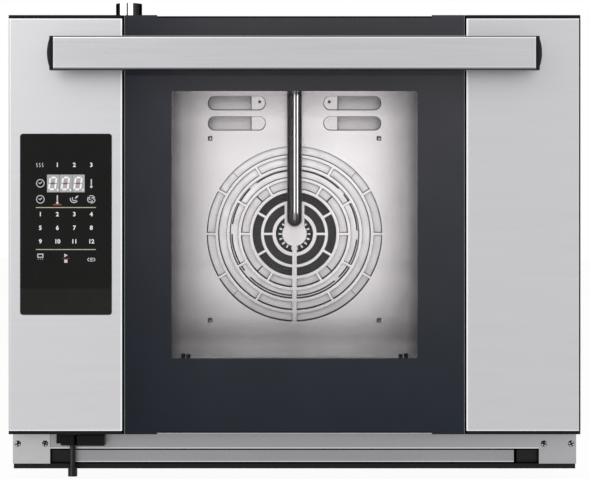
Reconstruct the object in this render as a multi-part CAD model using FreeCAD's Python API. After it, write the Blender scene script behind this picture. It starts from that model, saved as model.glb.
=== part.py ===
import FreeCAD, Part
import math
import os

# Compact convection oven with a full-width drop-down door.
# Millimetres. +X to the right, +Y to the back, +Z up, origin at the bottom centre.

Vector = FreeCAD.Vector

# Clearances
running_clearance = 0.05
fit_clearance = 0.1
slide_clearance = 0.3

# Overall
overall_width = 600.0
foot_height = 12.0
foot_diameter = 40.0
foot_side_inset = 69.0
foot_front_inset = 150.0
foot_rear_inset = 60.0

# Base, rail and brackets
base_side_inset = 1.0
base_recess = 40.0
base_rim_height = 5.2
base_sheet = 1.5
rail_height = 17.0
rail_sheet = 1.5
bracket_width = 39.7
bracket_screw_inset = 5.3
bracket_screw_drop = 11.7
screw_head_diameter = 6.7
screw_head_height = 2.0
screw_shank_diameter = 4.0

# Drip tray
tray_rise = 1.8
tray_front_height = 12.7
tray_rail_gap = 1.4
tray_side_gap = 26.8
tray_overlap = 4.0
tray_wall_drop = 1.5
tray_length = 330.0
tray_sheet = 1.2
guide_width = 9.0
guide_sheet = 1.5

# Door drain
drain_depth = 20.0
drain_wall = 1.5
drain_drop = 1.1
cup_width = 29.0
cup_height = 11.3
cup_inset = 30.3
spout_inset = 25.0
spout_standoff = 10.0
spout_diameter = 6.0
spout_bore = 3.6
spout_overhang = 7.3
tip_diameter = 10.0
tip_length = 9.8
collar_diameter = 9.6
fitting_width = 14.0
fitting_height = 11.5
fitting_step_width = 4.7
fitting_step_rise = 2.1

# Door
door_rail_gap = 1.5
door_height = 439.5
door_thickness = 46.0
door_sheet = 1.2
door_bend_radius = 2.5
side_panel_width = 119.7
trim_top_height = 3.7
trim_bottom_height = 3.6
panel_glass_gap = 1.8
glass_thickness = 4.0
glass_notch_inset = 34.5
glass_notch_top = 1.6
glass_notch_bottom = 2.0
window_side_margin = 49.9
window_top_margin = 79.4
window_bottom_margin = 80.2
inner_opening_margin = 16.0
inner_glass_overlap = 10.0
clip_width = 20.0
clip_lip = 4.0
clip_sheet = 1.5
clip_side_inset = 45.0
channel_width = 9.0
channel_wall = 1.5
door_vent_count = 6
door_vent_pitch = 52.0
door_vent_length = 40.0
door_vent_width = 14.0
lamp_rise = 8.0
lamp_height = 12.0
lamp_depth = 14.0
lamp_side_inset = 20.0

# Handle
handle_projection = 45.0
handle_side_inset = 51.5
handle_height = 35.5
handle_thickness = 14.0
handle_edge_radius = 2.5
handle_drop = 43.0
handle_cap_thickness = 4.0
cap_dome_height = 2.4
cap_dome_chord = 29.0
post_diameter = 16.0
post_inset = 24.0

# Control panel
control_width = 96.0
control_height = 189.8
control_thickness = 4.0
control_proud = 1.0
control_side_margin = 12.4
control_rise = 125.2
control_corner_radius = 3.2
housing_rim = 5.0
housing_ledge = 4.0
housing_depth = 19.0
housing_wall = 2.0
board_thickness = 1.6
display_width = 40.0
display_height = 18.6
display_drop = 51.8

# Door hinge
pivot_from_front = 10.0
pivot_above_bottom = 8.0
hinge_side_inset = 24.0
hinge_pin_diameter = 5.0
hinge_arm_thickness = 7.0
hinge_arm_height = 12.0
hinge_slot_clearance = 0.5
hinge_sweep_clearance = 1.5
hinge_block_width = 24.0
hinge_block_rise = 18.0
hinge_block_depth = 30.0
hinge_housing_length = 130.0
hinge_housing_wall = 1.5
hinge_housing_room = 8.0
hinge_arm_reach = 40.0

# Body shell
gasket_gap = 5.0
gasket_width = 11.0
gasket_inset = 2.0
casing_sheet = 1.0
casing_door_drop = 2.1
frame_sheet = 1.2
liner_sheet = 1.0
side_space = 34.5
top_space = 18.0
insulation_thickness = 25.0
cavity_floor_height = 85.0
cavity_depth = 404.0
service_depth = 131.0
rear_fitting_projection = 12.0
rear_screw_inset = 8.0
louvre_width = 60.0
louvre_height = 4.0
louvre_pitch = 10.0
louvre_count = 9
louvre_rise = 240.0

# Fan guard
guard_standoff = 58.5
guard_sheet = 1.5
guard_side_margin = 37.5
guard_end_margin = 3.0
ring_inner_radius = 26.8
ring_pitch = 13.84
ring_width = 10.44
hub_slot_inner_radius = 14.8
hub_slot_outer_radius = 22.6
spoke_width = 2.8
centre_bar_width = 5.5
ring_spoke_angles = [
    [0, 180],
    [30, 150, 210, 330],
    [0, 60, 120, 180, 240, 300],
    [30, 150, 210, 330],
    [60, 120, 240, 300],
    [0, 30, 150, 180, 210, 330],
]
pipe_tab_width = 24.0
vent_length = 70.4
vent_height = 17.4
vent_inner_edge = 34.9
vent_drop = 19.8
vent_pitch = 24.5
vent_plate_half_width = 53.0
vent_plate_sheet = 1.0
vent_plate_margin = 6.0
vent_hole_diameter = 3.6
vent_hole_offset = 42.3
vent_hole_rise = 1.7
peg_offset = 102.4
peg_drop = 62.5
peg_rise = 57.8
peg_size = 4.6
peg_hole_size = 5.4
peg_shoulder_size = 10.0
peg_tip = 1.0

# Convection fan, motor and heater
fan_rise = 165.6
fan_diameter = 214.0
fan_wall_gap = 8.0
fan_sheet = 1.5
fan_blade_depth = 40.0
fan_blade_inner_radius = 55.0
fan_ring_inner_radius = 51.0
fan_blade_rim_gap = 2.0
fan_blade_count = 12
fan_hub_diameter = 34.0
fan_hub_length = 22.0
shaft_diameter = 12.0
shaft_passage = 30.0
nut_across_flats = 19.0
nut_length = 9.0
motor_plate_size = 140.0
motor_plate_sheet = 2.0
motor_diameter = 96.0
motor_length = 80.0
motor_cap_wall = 12.0
element_diameter = 8.5
element_gap = 18.0
element_standoff = 28.0
element_bend_radius = 15.0
element_open_angle = 30.0
element_hole_clearance = 0.5
element_tail = 14.0

# Chimney, humidity pipe and water line
chimney_diameter = 31.0
chimney_wall = 1.5
chimney_rise = 47.0
chimney_side_inset = 40.5
chimney_setback = 289.0
chimney_flange_diameter = 45.0
chimney_flange_height = 2.0
pipe_diameter = 17.6
pipe_wall = 1.5
pipe_end_above_fan = 8.8
pipe_guard_gap = 21.0
water_tube_diameter = 8.0
water_tube_bore = 6.0
water_tube_bend = 10.0
water_hole_clearance = 0.5
valve_width = 40.0
valve_height = 50.0
valve_depth = 36.0
valve_rise = 70.0
valve_side_inset = 58.0
inlet_diameter = 26.4
inlet_bore = 15.0
inlet_depth = 20.0
inlet_collar_diameter = 30.0
inlet_collar_proud = 1.5

# Tray racks
rack_wall_gap = 3.0
rack_post_width = 14.0
rack_post_thickness = 2.0
rack_end_margin = 30.0
rack_floor_gap = 25.0
rack_top_gap = 40.0
rack_ledge_width = 14.0
rack_ledge_sheet = 1.5
rack_ledge_height = 10.0
rack_first_level = 45.0
rack_level_pitch = 75.0
rack_level_count = 3
stud_diameter = 8.0
stud_inset = 20.0

# Electrics in the rear compartment
power_board_width = 90.0
power_board_height = 170.0
power_board_rise = 130.0
power_board_margin = 18.0
board_post_diameter = 6.0
board_post_length = 10.0
board_post_inset = 6.0
relay_count = 4
relay_size = 24.0
relay_height = 18.0
terminal_width = 66.0
terminal_depth = 28.0
terminal_height = 34.0
terminal_rear_gap = 45.0
gland_side_inset = 78.0
gland_rise = 62.0
gland_diameter = 20.0
gland_nut_diameter = 30.0
gland_nut_length = 6.0
gland_bore = 12.0
cooler_size = 80.0
cooler_depth = 25.0
cooler_bore = 76.0
cooler_rise = 205.0
cooler_side_inset = 148.0
cooler_strut_width = 6.0
cooler_strut_depth = 3.0
cooler_hub_diameter = 30.0
cooler_hub_depth = 15.0
cooler_spindle_diameter = 5.0
cooler_blade_count = 7
cooler_blade_sheet = 1.5
cooler_blade_width = 14.0
cooler_tip_gap = 2.0
cooler_rotor_gap = 0.5
grille_slot_height = 4.0
grille_slot_pitch = 9.0
grille_slot_count = 7
probe_diameter = 4.0
probe_reach = 25.0
probe_head_diameter = 12.0
probe_head_length = 10.0
probe_side_inset = 87.0
probe_drop = 52.0
thermostat_size = 30.0
thermostat_depth = 18.0
thermostat_rise = 110.0
thermostat_stem_diameter = 6.0
thermostat_stem_length = 10.0

# Places along Z
base_bottom = foot_height
base_floor = base_bottom + base_sheet
base_top = base_bottom + base_rim_height
tray_bottom = base_top + tray_rise
tray_top = tray_bottom + tray_front_height
rail_bottom = tray_top + tray_rail_gap
rail_top = rail_bottom + rail_height
door_bottom = rail_top + door_rail_gap
door_top = door_bottom + door_height
panel_bottom = door_bottom + trim_bottom_height
panel_top = door_top - trim_top_height
window_bottom = door_bottom + window_bottom_margin
window_top = door_top - window_top_margin
handle_z = door_top - handle_drop
pivot_z = door_bottom + pivot_above_bottom
casing_top = door_top - casing_door_drop
casing_inner_top = casing_top - casing_sheet
cavity_floor = base_bottom + cavity_floor_height
cavity_ceiling = casing_inner_top - top_space - insulation_thickness - liner_sheet
liner_bottom = cavity_floor - liner_sheet
liner_top = cavity_ceiling + liner_sheet
insulation_top = liner_top + insulation_thickness
fan_z = cavity_floor + fan_rise

# Places along Y
casing_depth = cavity_depth + liner_sheet + insulation_thickness + service_depth
overall_depth = handle_projection + door_thickness + gasket_gap + casing_depth + rear_fitting_projection
door_front = handle_projection - overall_depth / 2
door_rear = door_front + door_thickness
glass_rear = door_front + glass_thickness
back_plate_front = door_rear - door_sheet
pivot_y = door_front + pivot_from_front
base_front = door_front + base_recess
body_front = door_rear + gasket_gap
liner_front = body_front + frame_sheet
cavity_rear = body_front + cavity_depth
liner_rear = cavity_rear + liner_sheet
service_front = liner_rear + insulation_thickness
casing_rear = service_front + service_depth
cover_front = casing_rear - casing_sheet
rear_limit = casing_rear + rear_fitting_projection
guard_rear = cavity_rear - guard_standoff
guard_front = guard_rear - guard_sheet
chimney_y = body_front + chimney_setback
pipe_y = guard_front - pipe_guard_gap - pipe_diameter / 2

# Places along X, measured from the middle
door_half = overall_width / 2
panel_inner = door_half - side_panel_width
glass_half = panel_inner - panel_glass_gap
window_half = glass_half - window_side_margin
base_half = door_half - base_side_inset
casing_inner_half = base_half - casing_sheet
cavity_half = casing_inner_half - side_space - insulation_thickness - liner_sheet
liner_half = cavity_half + liner_sheet
guard_half = cavity_half - guard_side_margin
bracket_inner = door_half - bracket_width
tray_half = bracket_inner - tray_side_gap
pan_half = tray_half - tray_overlap
hinge_x = door_half - hinge_side_inset
handle_half = door_half - handle_side_inset
chimney_x = chimney_side_inset - cavity_half
probe_x = cavity_half - probe_side_inset
gland_x = gland_side_inset - casing_inner_half
valve_x = casing_inner_half - valve_side_inset
cooler_x = casing_inner_half - cooler_side_inset
element_radius = fan_diameter / 2 + element_gap + element_diameter / 2

# Directions
along_x = Vector(1, 0, 0)
along_y = Vector(0, 1, 0)
along_z = Vector(0, 0, 1)


def span(centre, size):
    """Limits of a length about its centre."""
    return (centre - size / 2, centre + size / 2)


def grown(limits, by):
    """Limits moved apart by a margin at both ends."""
    return (limits[0] - by, limits[1] + by)


def block(x, y, z):
    """Box between a pair of limits on each axis."""
    low = Vector(min(x), min(y), min(z))
    size = Vector(max(x), max(y), max(z)) - low
    return Part.makeBox(size.x, size.y, size.z, low)


def rod(diameter, start, end):
    """Round bar between two points."""
    return Part.makeCylinder(diameter / 2, (end - start).Length, start, end - start)


def rod_y(diameter, x, z, y):
    """Round bar along Y between two limits."""
    return rod(diameter, Vector(x, min(y), z), Vector(x, max(y), z))


def rod_x(diameter, x, y, z):
    """Round bar along X between two limits."""
    return rod(diameter, Vector(min(x), y, z), Vector(max(x), y, z))


def rod_z(diameter, x, y, z):
    """Round bar along Z between two limits."""
    return rod(diameter, Vector(x, y, min(z)), Vector(x, y, max(z)))


def straight_edges(shape, axis):
    """Straight edges of a shape that run along an axis."""
    lines = [edge for edge in shape.Edges if edge.Curve.TypeId == "Part::GeomLine"]
    return [edge for edge in lines if abs(edge.Curve.Direction.dot(axis)) > 0.999]


def rounded(shape, radius, axis):
    """Shape with its edges along an axis rounded."""
    return shape.makeFillet(radius, straight_edges(shape, axis))


def front_rounded(shape, radius):
    """Shape with its upright edges at the front rounded."""
    front = shape.BoundBox.YMin + radius / 2
    edges = [edge for edge in straight_edges(shape, along_z) if edge.BoundBox.YMax < front]
    return shape.makeFillet(radius, edges)


def fused(shapes):
    """One solid from touching shapes, with the seams between flat faces removed."""
    return shapes[0].multiFuse(shapes[1:]).removeSplitter()


def both_sides(make):
    """The left and right copies of a piece that is made from a side of -1 or 1."""
    return Part.makeCompound([make(-1), make(1)])


def swept(edges, diameter):
    """Solid round bar along a path of tangent lines and arcs."""
    path = Part.Wire(edges)
    first = edges[0]
    start = first.valueAt(first.FirstParameter)
    direction = first.tangentAt(first.FirstParameter)
    ring = Part.Wire([Part.makeCircle(diameter / 2, start, direction)])
    return path.makePipeShell([ring], True, True)


def bent_path(points, radius):
    """Straight runs between points, joined by tangent arcs of one radius."""
    edges = []
    start = points[0]
    for before, corner, after in zip(points, points[1:], points[2:]):
        arriving = (corner - before).normalize()
        leaving = (after - corner).normalize()
        half_turn = arriving.getAngle(leaving) / 2
        cut = radius * math.tan(half_turn)
        arc_start = corner - arriving * cut
        arc_end = corner + leaving * cut
        inward = (leaving - arriving).normalize()
        middle = corner + inward * (radius / math.cos(half_turn) - radius)
        edges.append(Part.LineSegment(start, arc_start).toShape())
        edges.append(Part.Arc(arc_start, middle, arc_end).toShape())
        start = arc_end
    edges.append(Part.LineSegment(start, points[-1]).toShape())
    return edges


def screw(x, z, face_y, toward, shank_length):
    """Round-headed screw along Y. Its head stands on a face, on the side given by toward."""
    head = rod_y(screw_head_diameter, x, z, (face_y, face_y + toward * screw_head_height))
    rim = [edge for edge in head.Edges if abs(edge.BoundBox.Center.y - face_y) > screw_head_height / 2]
    head = head.makeFillet(screw_head_height / 2, [edge for edge in rim if edge.Closed])
    shank = rod_y(screw_shank_diameter, x, z, (face_y, face_y - toward * shank_length))
    return fused([head, shank])


def screw_hole(x, z, y):
    """Hole for a screw's shank through a sheet between two Y limits."""
    return rod_y(screw_shank_diameter + 2 * fit_clearance, x, z, y)


# Base and drip tray

def base_tray():
    outer = block((-base_half, base_half), (base_front, casing_rear), (base_bottom, base_top))
    inside = block(
        grown((-base_half, base_half), -base_sheet),
        grown((base_front, casing_rear), -base_sheet),
        (base_floor, base_top),
    )
    return outer.cut(inside)


def feet():
    x_places = [foot_side_inset - base_half, base_half - foot_side_inset]
    y_places = [base_front + foot_front_inset, casing_rear - foot_rear_inset]
    return Part.makeCompound(
        [rod_z(foot_diameter, x, y, (0, foot_height)) for x in x_places for y in y_places]
    )


def bracket_plate(side):
    """Corner plate with its top flange and side return."""
    outer = side * door_half
    inner = side * bracket_inner
    face = block((inner, outer), (base_front, base_front + rail_sheet), (base_top, rail_top))
    flange = block((inner, outer), (base_front, body_front), (rail_top - rail_sheet, rail_top))
    side_return = block((outer - side * rail_sheet, outer), (base_front, body_front), (base_top, rail_top))
    plate = fused([face, flange, side_return])
    for x, z in bracket_screw_places(side):
        plate = plate.cut(screw_hole(x, z, (base_front, base_front + rail_sheet)))
    return plate


def bracket_screw_places(side):
    near = side * (bracket_inner + bracket_screw_inset)
    far = side * (door_half - bracket_screw_inset)
    height = rail_top - bracket_screw_drop
    return [(near, height), (far, height)]


def bracket_screws():
    places = bracket_screw_places(-1) + bracket_screw_places(1)
    return Part.makeCompound([screw(x, z, base_front, -1, rail_sheet) for x, z in places])


def left_bracket():
    return bracket_plate(-1)


def front_rail():
    """Upper strip across the base, in one piece with the right bracket."""
    width = (slide_clearance - bracket_inner, bracket_inner)
    strip = block(width, (base_front, base_front + rail_sheet), (rail_bottom, rail_top))
    flange = block(width, (base_front, body_front), (rail_top - rail_sheet, rail_top))
    return fused([strip, flange, bracket_plate(1)])


def drip_tray():
    """Welded tray: front, floor, two sides and back."""
    front_y = (base_front, base_front + tray_sheet)
    pan_y = (front_y[1], base_front + tray_length)
    back_y = (pan_y[1] - tray_sheet, pan_y[1])
    inner = pan_half - tray_sheet
    floor_z = (tray_bottom, tray_bottom + tray_sheet)
    wall_z = (floor_z[1], tray_top - tray_wall_drop)
    sheets = [
        block((-tray_half, tray_half), front_y, (tray_bottom, tray_top)),
        block((-pan_half, pan_half), pan_y, floor_z),
        block((-inner, inner), back_y, wall_z),
    ]
    sheets += [block((side * inner, side * pan_half), pan_y, wall_z) for side in (-1, 1)]
    return Part.makeCompound(sheets)


def tray_guides():
    """A shelf and a fence on each side, on which the drip tray slides."""
    length = (liner_front, base_front + tray_length)
    strips = []
    for side in (-1, 1):
        wall = side * (pan_half + slide_clearance)
        shelf_x = (wall - side * guide_width, wall)
        strips.append(block(shelf_x, length, (base_floor, tray_bottom - slide_clearance)))
        strips.append(block((wall, wall + side * guide_sheet), length, (base_floor, tray_top)))
    return Part.makeCompound(strips)


# Door drain

def drain_cup():
    """Open cup on the front of the rail, under the door's lower edge."""
    left = -bracket_inner + cup_inset
    top = rail_top - drain_drop
    x = (left, left + cup_width)
    y = (base_front - drain_depth, base_front)
    outer = block(x, y, (top - cup_height, top))
    inside = block(grown(x, -drain_wall), grown(y, -drain_wall), (top - cup_height + drain_wall, top))
    return outer.cut(inside)


def drain_fitting():
    """Stepped block on the rail, with a collar that holds the spout."""
    top = rail_top - drain_drop
    right = -bracket_inner + spout_inset - spout_diameter / 2
    left = right - fitting_width
    step = left + fitting_step_width
    y = (base_front - spout_standoff - spout_diameter / 2, base_front)
    small = block((left, step), y, (top - fitting_height + fitting_step_rise, top))
    large = block((step, right), y, (top - fitting_height, top))
    collar = rod_z(collar_diameter, spout_x(), spout_y(), (top - fitting_height, top))
    hole = rod_z(spout_diameter + 2 * fit_clearance, spout_x(), spout_y(), (top - fitting_height, top))
    return fused([small, large, collar]).cut(hole)


def spout_x():
    return -bracket_inner + spout_inset


def spout_y():
    return base_front - spout_standoff


def drain_spout():
    low = base_bottom - spout_overhang
    top = rail_top - drain_drop
    pipe = rod_z(spout_diameter, spout_x(), spout_y(), (low, top))
    tip = rod_z(tip_diameter, spout_x(), spout_y(), (low, low + tip_length))
    bore = rod_z(spout_bore, spout_x(), spout_y(), (low, top))
    return fused([pipe, tip]).cut(bore)


# Door

def side_panel(side):
    """Folded sheet with a front face and two side returns, open at the back."""
    x = (side * panel_inner, side * door_half)
    inner_x = (side * (panel_inner + door_sheet), side * (door_half - door_sheet))
    z = (panel_bottom, panel_top)
    outside = front_rounded(block(x, (door_front, back_plate_front), z), door_bend_radius)
    inside = block(inner_x, (door_front + door_sheet, back_plate_front), z)
    return outside.cut(front_rounded(inside, door_bend_radius - door_sheet))


def control_x():
    left = control_side_margin - door_half
    return (left, left + control_width)


def control_z():
    low = door_bottom + control_rise
    return (low, low + control_height)


def left_door_panel():
    window = rounded(
        block(
            grown(control_x(), fit_clearance),
            (door_front, door_front + door_sheet),
            grown(control_z(), fit_clearance),
        ),
        control_corner_radius,
        along_y,
    )
    return side_panel(-1).cut(window)


def right_door_panel():
    return side_panel(1)


def hinge_slot(side):
    """Space in the door's lower corner that the fixed hinge arm sweeps through."""
    reach = hinge_arm_height / 2 + hinge_sweep_clearance
    width = hinge_arm_thickness + 2 * hinge_slot_clearance
    return block(
        span(side * hinge_x, width),
        (pivot_y - reach, door_rear),
        (door_bottom, pivot_z + reach),
    )


def panel_trims():
    def trim(side, z):
        x = (side * panel_inner, side * door_half)
        return front_rounded(block(x, (door_front, door_rear), z), door_bend_radius)
    low = (door_bottom, panel_bottom)
    high = (panel_top, door_top)
    lower = [trim(side, low).cut(hinge_slot(side)) for side in (-1, 1)]
    upper = [trim(side, high) for side in (-1, 1)]
    return Part.makeCompound(lower + upper)


def outer_glass():
    pane_y = (door_front, glass_rear)
    notch_half = glass_half - glass_notch_inset
    pane = block((-glass_half, glass_half), pane_y, (door_bottom, door_top))
    low_notch = block((-notch_half, notch_half), pane_y, (door_bottom, door_bottom + glass_notch_bottom))
    high_notch = block((-notch_half, notch_half), pane_y, (door_top - glass_notch_top, door_top))
    return pane.cut(low_notch).cut(high_notch)


def glass_frame():
    """Upright channels and slotted strips that hold the outer glass off the back plate."""
    z = (panel_bottom, panel_top)
    depth = (glass_rear, back_plate_front)
    inner = glass_half - channel_width
    web = glass_half - channel_wall
    parts = []
    for side in (-1, 1):
        bar = block((side * inner, side * glass_half), depth, z)
        parts.append(bar.cut(block((side * inner, side * web), grown(depth, -channel_wall), z)))
    for strip in ((panel_bottom, panel_bottom + channel_wall), (panel_top - channel_wall, panel_top)):
        closing = block((-web, web), depth, strip)
        for index in range(door_vent_count):
            x = (index - (door_vent_count - 1) / 2) * door_vent_pitch
            closing = closing.cut(
                block(span(x, door_vent_length), span(sum(depth) / 2, door_vent_width), strip)
            )
        parts.append(closing)
    return fused(parts)


def inner_opening_half():
    return window_half + inner_opening_margin


def inner_opening_z():
    return grown((window_bottom, window_top), inner_opening_margin)


def door_back_plate():
    thickness = (back_plate_front, door_rear)
    plate = block((-door_half, door_half), thickness, (panel_bottom, panel_top))
    opening = block((-inner_opening_half(), inner_opening_half()), thickness, inner_opening_z())
    return plate.cut(opening).cut(hinge_slot(-1)).cut(hinge_slot(1))


def inner_glass():
    half = inner_opening_half() + inner_glass_overlap
    return block(
        (-half, half),
        (back_plate_front - glass_thickness, back_plate_front),
        grown(inner_opening_z(), inner_glass_overlap),
    )


def inner_glass_clips():
    """Four hooks on the back plate that hold the inner glass by its upper and lower edges."""
    low, high = grown(inner_opening_z(), inner_glass_overlap)
    glass_front = back_plate_front - glass_thickness

    def clip(x, edge, outward):
        foot_y = (glass_front - clip_sheet, back_plate_front)
        foot = block(span(x, clip_width), foot_y, (edge, edge + outward * clip_sheet))
        lip_y = (glass_front - clip_sheet, glass_front)
        lip = block(span(x, clip_width), lip_y, (edge - outward * clip_lip, edge))
        return fused([foot, lip])

    clip_x = inner_opening_half() - clip_side_inset
    return Part.makeCompound(
        [clip(x, edge, outward) for x in (-clip_x, clip_x) for edge, outward in ((low, -1), (high, 1))]
    )


def door_lamp():
    """Light bar between the two panes, above the inner glass."""
    low = inner_opening_z()[1] + inner_glass_overlap + lamp_rise
    half = inner_opening_half() - lamp_side_inset
    return block((-half, half), (back_plate_front - lamp_depth, back_plate_front), (low, low + lamp_height))


def handle_y():
    front = door_front - handle_projection
    return (front, front + handle_thickness)


def handle_bar():
    bar = block((-handle_half, handle_half), handle_y(), span(handle_z, handle_height))
    return rounded(bar, handle_edge_radius, along_x)


def handle_caps():
    def cap(side):
        seat = side * handle_half
        end = seat + side * handle_cap_thickness
        plate = block((seat, end), handle_y(), span(handle_z, handle_height))
        plate = rounded(plate, handle_edge_radius, along_x)
        dome_radius = cap_dome_chord ** 2 / (8 * cap_dome_height) + cap_dome_height / 2
        dome_x = end + side * (cap_dome_height - dome_radius)
        dome = rod_y(2 * dome_radius, dome_x, handle_z, handle_y())
        beyond = block((end, end + side * cap_dome_height), handle_y(), span(handle_z, 2 * dome_radius))
        return fused([plate, dome.common(beyond)])
    return both_sides(cap)


def handle_posts():
    def post(side):
        return rod_y(post_diameter, side * (handle_half - post_inset), handle_z, (handle_y()[1], door_front))
    return both_sides(post)


def control_glass_y():
    front = door_front - control_proud
    return (front, front + control_thickness)


def control_glass():
    return rounded(block(control_x(), control_glass_y(), control_z()), control_corner_radius, along_y)


def control_housing():
    """Open-fronted box behind the control glass, which rests on its ledge."""
    front = door_front + door_sheet
    rear = front + housing_depth
    outer = block(grown(control_x(), housing_rim), (front, rear), grown(control_z(), housing_rim))
    seat = block(
        grown(control_x(), fit_clearance),
        (front, control_glass_y()[1]),
        grown(control_z(), fit_clearance),
    )
    room = block(
        grown(control_x(), -housing_ledge),
        (front, rear - housing_wall),
        grown(control_z(), -housing_ledge),
    )
    return outer.cut(seat).cut(room)


def control_board_y():
    rear = door_front + door_sheet + housing_depth - housing_wall
    return (rear - board_thickness, rear)


def control_board():
    return block(grown(control_x(), -housing_ledge), control_board_y(), grown(control_z(), -housing_ledge))


def display_module():
    middle = sum(control_x()) / 2
    y = (control_glass_y()[1] + slide_clearance, control_board_y()[0])
    return block(span(middle, display_width), y, span(control_z()[1] - display_drop, display_height))


# Door hinge

def hinge_blocks():
    def hinge_block(side):
        body = block(
            span(side * hinge_x, hinge_block_width),
            (door_front + door_sheet, door_front + door_sheet + hinge_block_depth),
            (panel_bottom, pivot_z + hinge_block_rise),
        )
        hole = rod_x(
            hinge_pin_diameter + 2 * fit_clearance,
            span(side * hinge_x, hinge_block_width),
            pivot_y,
            pivot_z,
        )
        return body.cut(hinge_slot(side)).cut(hole)
    return both_sides(hinge_block)


def hinge_pins():
    def pin(side):
        return rod_x(hinge_pin_diameter, span(side * hinge_x, hinge_block_width), pivot_y, pivot_z)
    return both_sides(pin)


def hinge_arms():
    """Fixed arms that carry the door's pins at their rounded front ends."""
    def arm(side):
        x = span(side * hinge_x, hinge_arm_thickness)
        bar = block(x, (pivot_y, liner_front + hinge_arm_reach), span(pivot_z, hinge_arm_height))
        nose = rod_x(hinge_arm_height, x, pivot_y, pivot_z)
        hole = rod_x(hinge_pin_diameter + 2 * running_clearance, x, pivot_y, pivot_z)
        return fused([bar, nose]).cut(hole)
    return both_sides(arm)


def hinge_housings():
    """Boxes behind the front frame that hold the arms between their side walls."""
    def housing(side):
        length = (liner_front, liner_front + hinge_housing_length)
        room_height = hinge_arm_height + 2 * hinge_housing_room
        shell_x = span(side * hinge_x, hinge_arm_thickness + 2 * hinge_housing_wall)
        shell = block(shell_x, length, span(pivot_z, room_height + 2 * hinge_housing_wall))
        room = block(
            span(side * hinge_x, hinge_arm_thickness),
            (length[0], length[1] - hinge_housing_wall),
            span(pivot_z, room_height),
        )
        return shell.cut(room)
    return both_sides(housing)


# Body shell

def casing_shell():
    """Two side sheets and the top sheet that lies on them."""
    length = (body_front, casing_rear)
    top_z = (casing_inner_top, casing_top)
    side_z = (base_top, casing_inner_top)
    hole = rod_z(chimney_diameter + 2 * fit_clearance, chimney_x, chimney_y, top_z)
    sheets = [block((-base_half, base_half), length, top_z).cut(hole)]
    sheets += [block((side * casing_inner_half, side * base_half), length, side_z) for side in (-1, 1)]
    return Part.makeCompound(sheets)


def front_frame():
    """Strips above and below the cavity, between two posts with openings for the hinge arms."""
    thickness = (body_front, liner_front)
    width = (-cavity_half, cavity_half)
    strips = [
        block(width, thickness, (cavity_ceiling, casing_inner_top)),
        block(width, thickness, (tray_top + slide_clearance, cavity_floor)),
    ]
    arm_z = span(pivot_z, hinge_arm_height + 2 * hinge_slot_clearance)
    for side in (-1, 1):
        post_x = (side * cavity_half, side * casing_inner_half)
        arm_x = span(side * hinge_x, hinge_arm_thickness + 2 * hinge_slot_clearance)
        post = block(post_x, thickness, (base_top, casing_inner_top))
        strips.append(post.cut(block(arm_x, thickness, arm_z)))
    return Part.makeCompound(strips)


def door_gasket():
    """Four lengths of seal around the cavity's mouth."""
    depth = (body_front - gasket_gap + slide_clearance, body_front)
    half = cavity_half + gasket_inset
    low, high = grown((cavity_floor, cavity_ceiling), gasket_inset)
    strips = [
        block((-half, half), depth, (low - gasket_width, low)),
        block((-half, half), depth, (high, high + gasket_width)),
    ]
    for side in (-1, 1):
        upright_x = (side * half, side * (half + gasket_width))
        strips.append(block(upright_x, depth, grown((low, high), gasket_width)))
    return Part.makeCompound(strips)


def rear_cover():
    thickness = (cover_front, casing_rear)
    cover = block((-casing_inner_half, casing_inner_half), thickness, (base_top, casing_inner_top))
    cuts = [
        rod_y(gland_diameter + 2 * fit_clearance, gland_x, base_bottom + gland_rise, thickness),
        rod_y(inlet_collar_diameter + 2 * fit_clearance, valve_x, inlet_z(), thickness),
    ]
    for index in range(louvre_count):
        z = base_bottom + louvre_rise + index * louvre_pitch
        cuts.append(block(span(gland_x, louvre_width), thickness, span(z, louvre_height)))
    for index in range(grille_slot_count):
        offset = (index - (grille_slot_count - 1) / 2) * grille_slot_pitch
        half = math.sqrt((cooler_bore / 2) ** 2 - offset ** 2)
        z = span(base_bottom + cooler_rise + offset, grille_slot_height)
        cuts.append(block((cooler_x - half, cooler_x + half), thickness, z))
    cuts += [screw_hole(x, z, thickness) for x, z in rear_screw_places()]
    return cover.cut(Part.makeCompound(cuts))


def rear_screw_places():
    side = casing_inner_half - rear_screw_inset
    low = base_top + rear_screw_inset
    high = casing_inner_top - rear_screw_inset
    return [(x, z) for x in (-side, 0, side) for z in (low, high)]


def rear_screws():
    return Part.makeCompound([screw(x, z, casing_rear, 1, casing_sheet) for x, z in rear_screw_places()])


def cavity_liner():
    """Welded box of five sheets, open at the front."""
    width = (-liner_half, liner_half)
    length = (liner_front, cavity_rear)
    ceiling_z = (cavity_ceiling, liner_top)
    chimney_hole = rod_z(chimney_diameter - 2 * chimney_wall, chimney_x, chimney_y, ceiling_z)
    water_hole = rod_z(water_tube_bore, 0, pipe_y, ceiling_z)
    sheets = [
        block(width, length, (liner_bottom, cavity_floor)),
        block(width, length, ceiling_z).cut(chimney_hole).cut(water_hole),
        block(width, (cavity_rear, liner_rear), (liner_bottom, liner_top)).cut(rear_passages()),
    ]
    for side in (-1, 1):
        side_x = (side * cavity_half, side * liner_half)
        sheets.append(block(side_x, length, (cavity_floor, cavity_ceiling)))
    return Part.makeCompound(sheets)


def rear_passages():
    """Holes through the cavity's rear wall and its insulation."""
    wall = (cavity_rear, service_front)
    passages = [rod_y(shaft_passage, 0, fan_z, wall)]
    passages.append(rod_y(probe_diameter + 2 * fit_clearance, probe_x, probe_z(), wall))
    for end in element_ends():
        passages.append(rod_y(element_diameter + 2 * element_hole_clearance, end.x, end.z, wall))
    return Part.makeCompound(passages)


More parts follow.
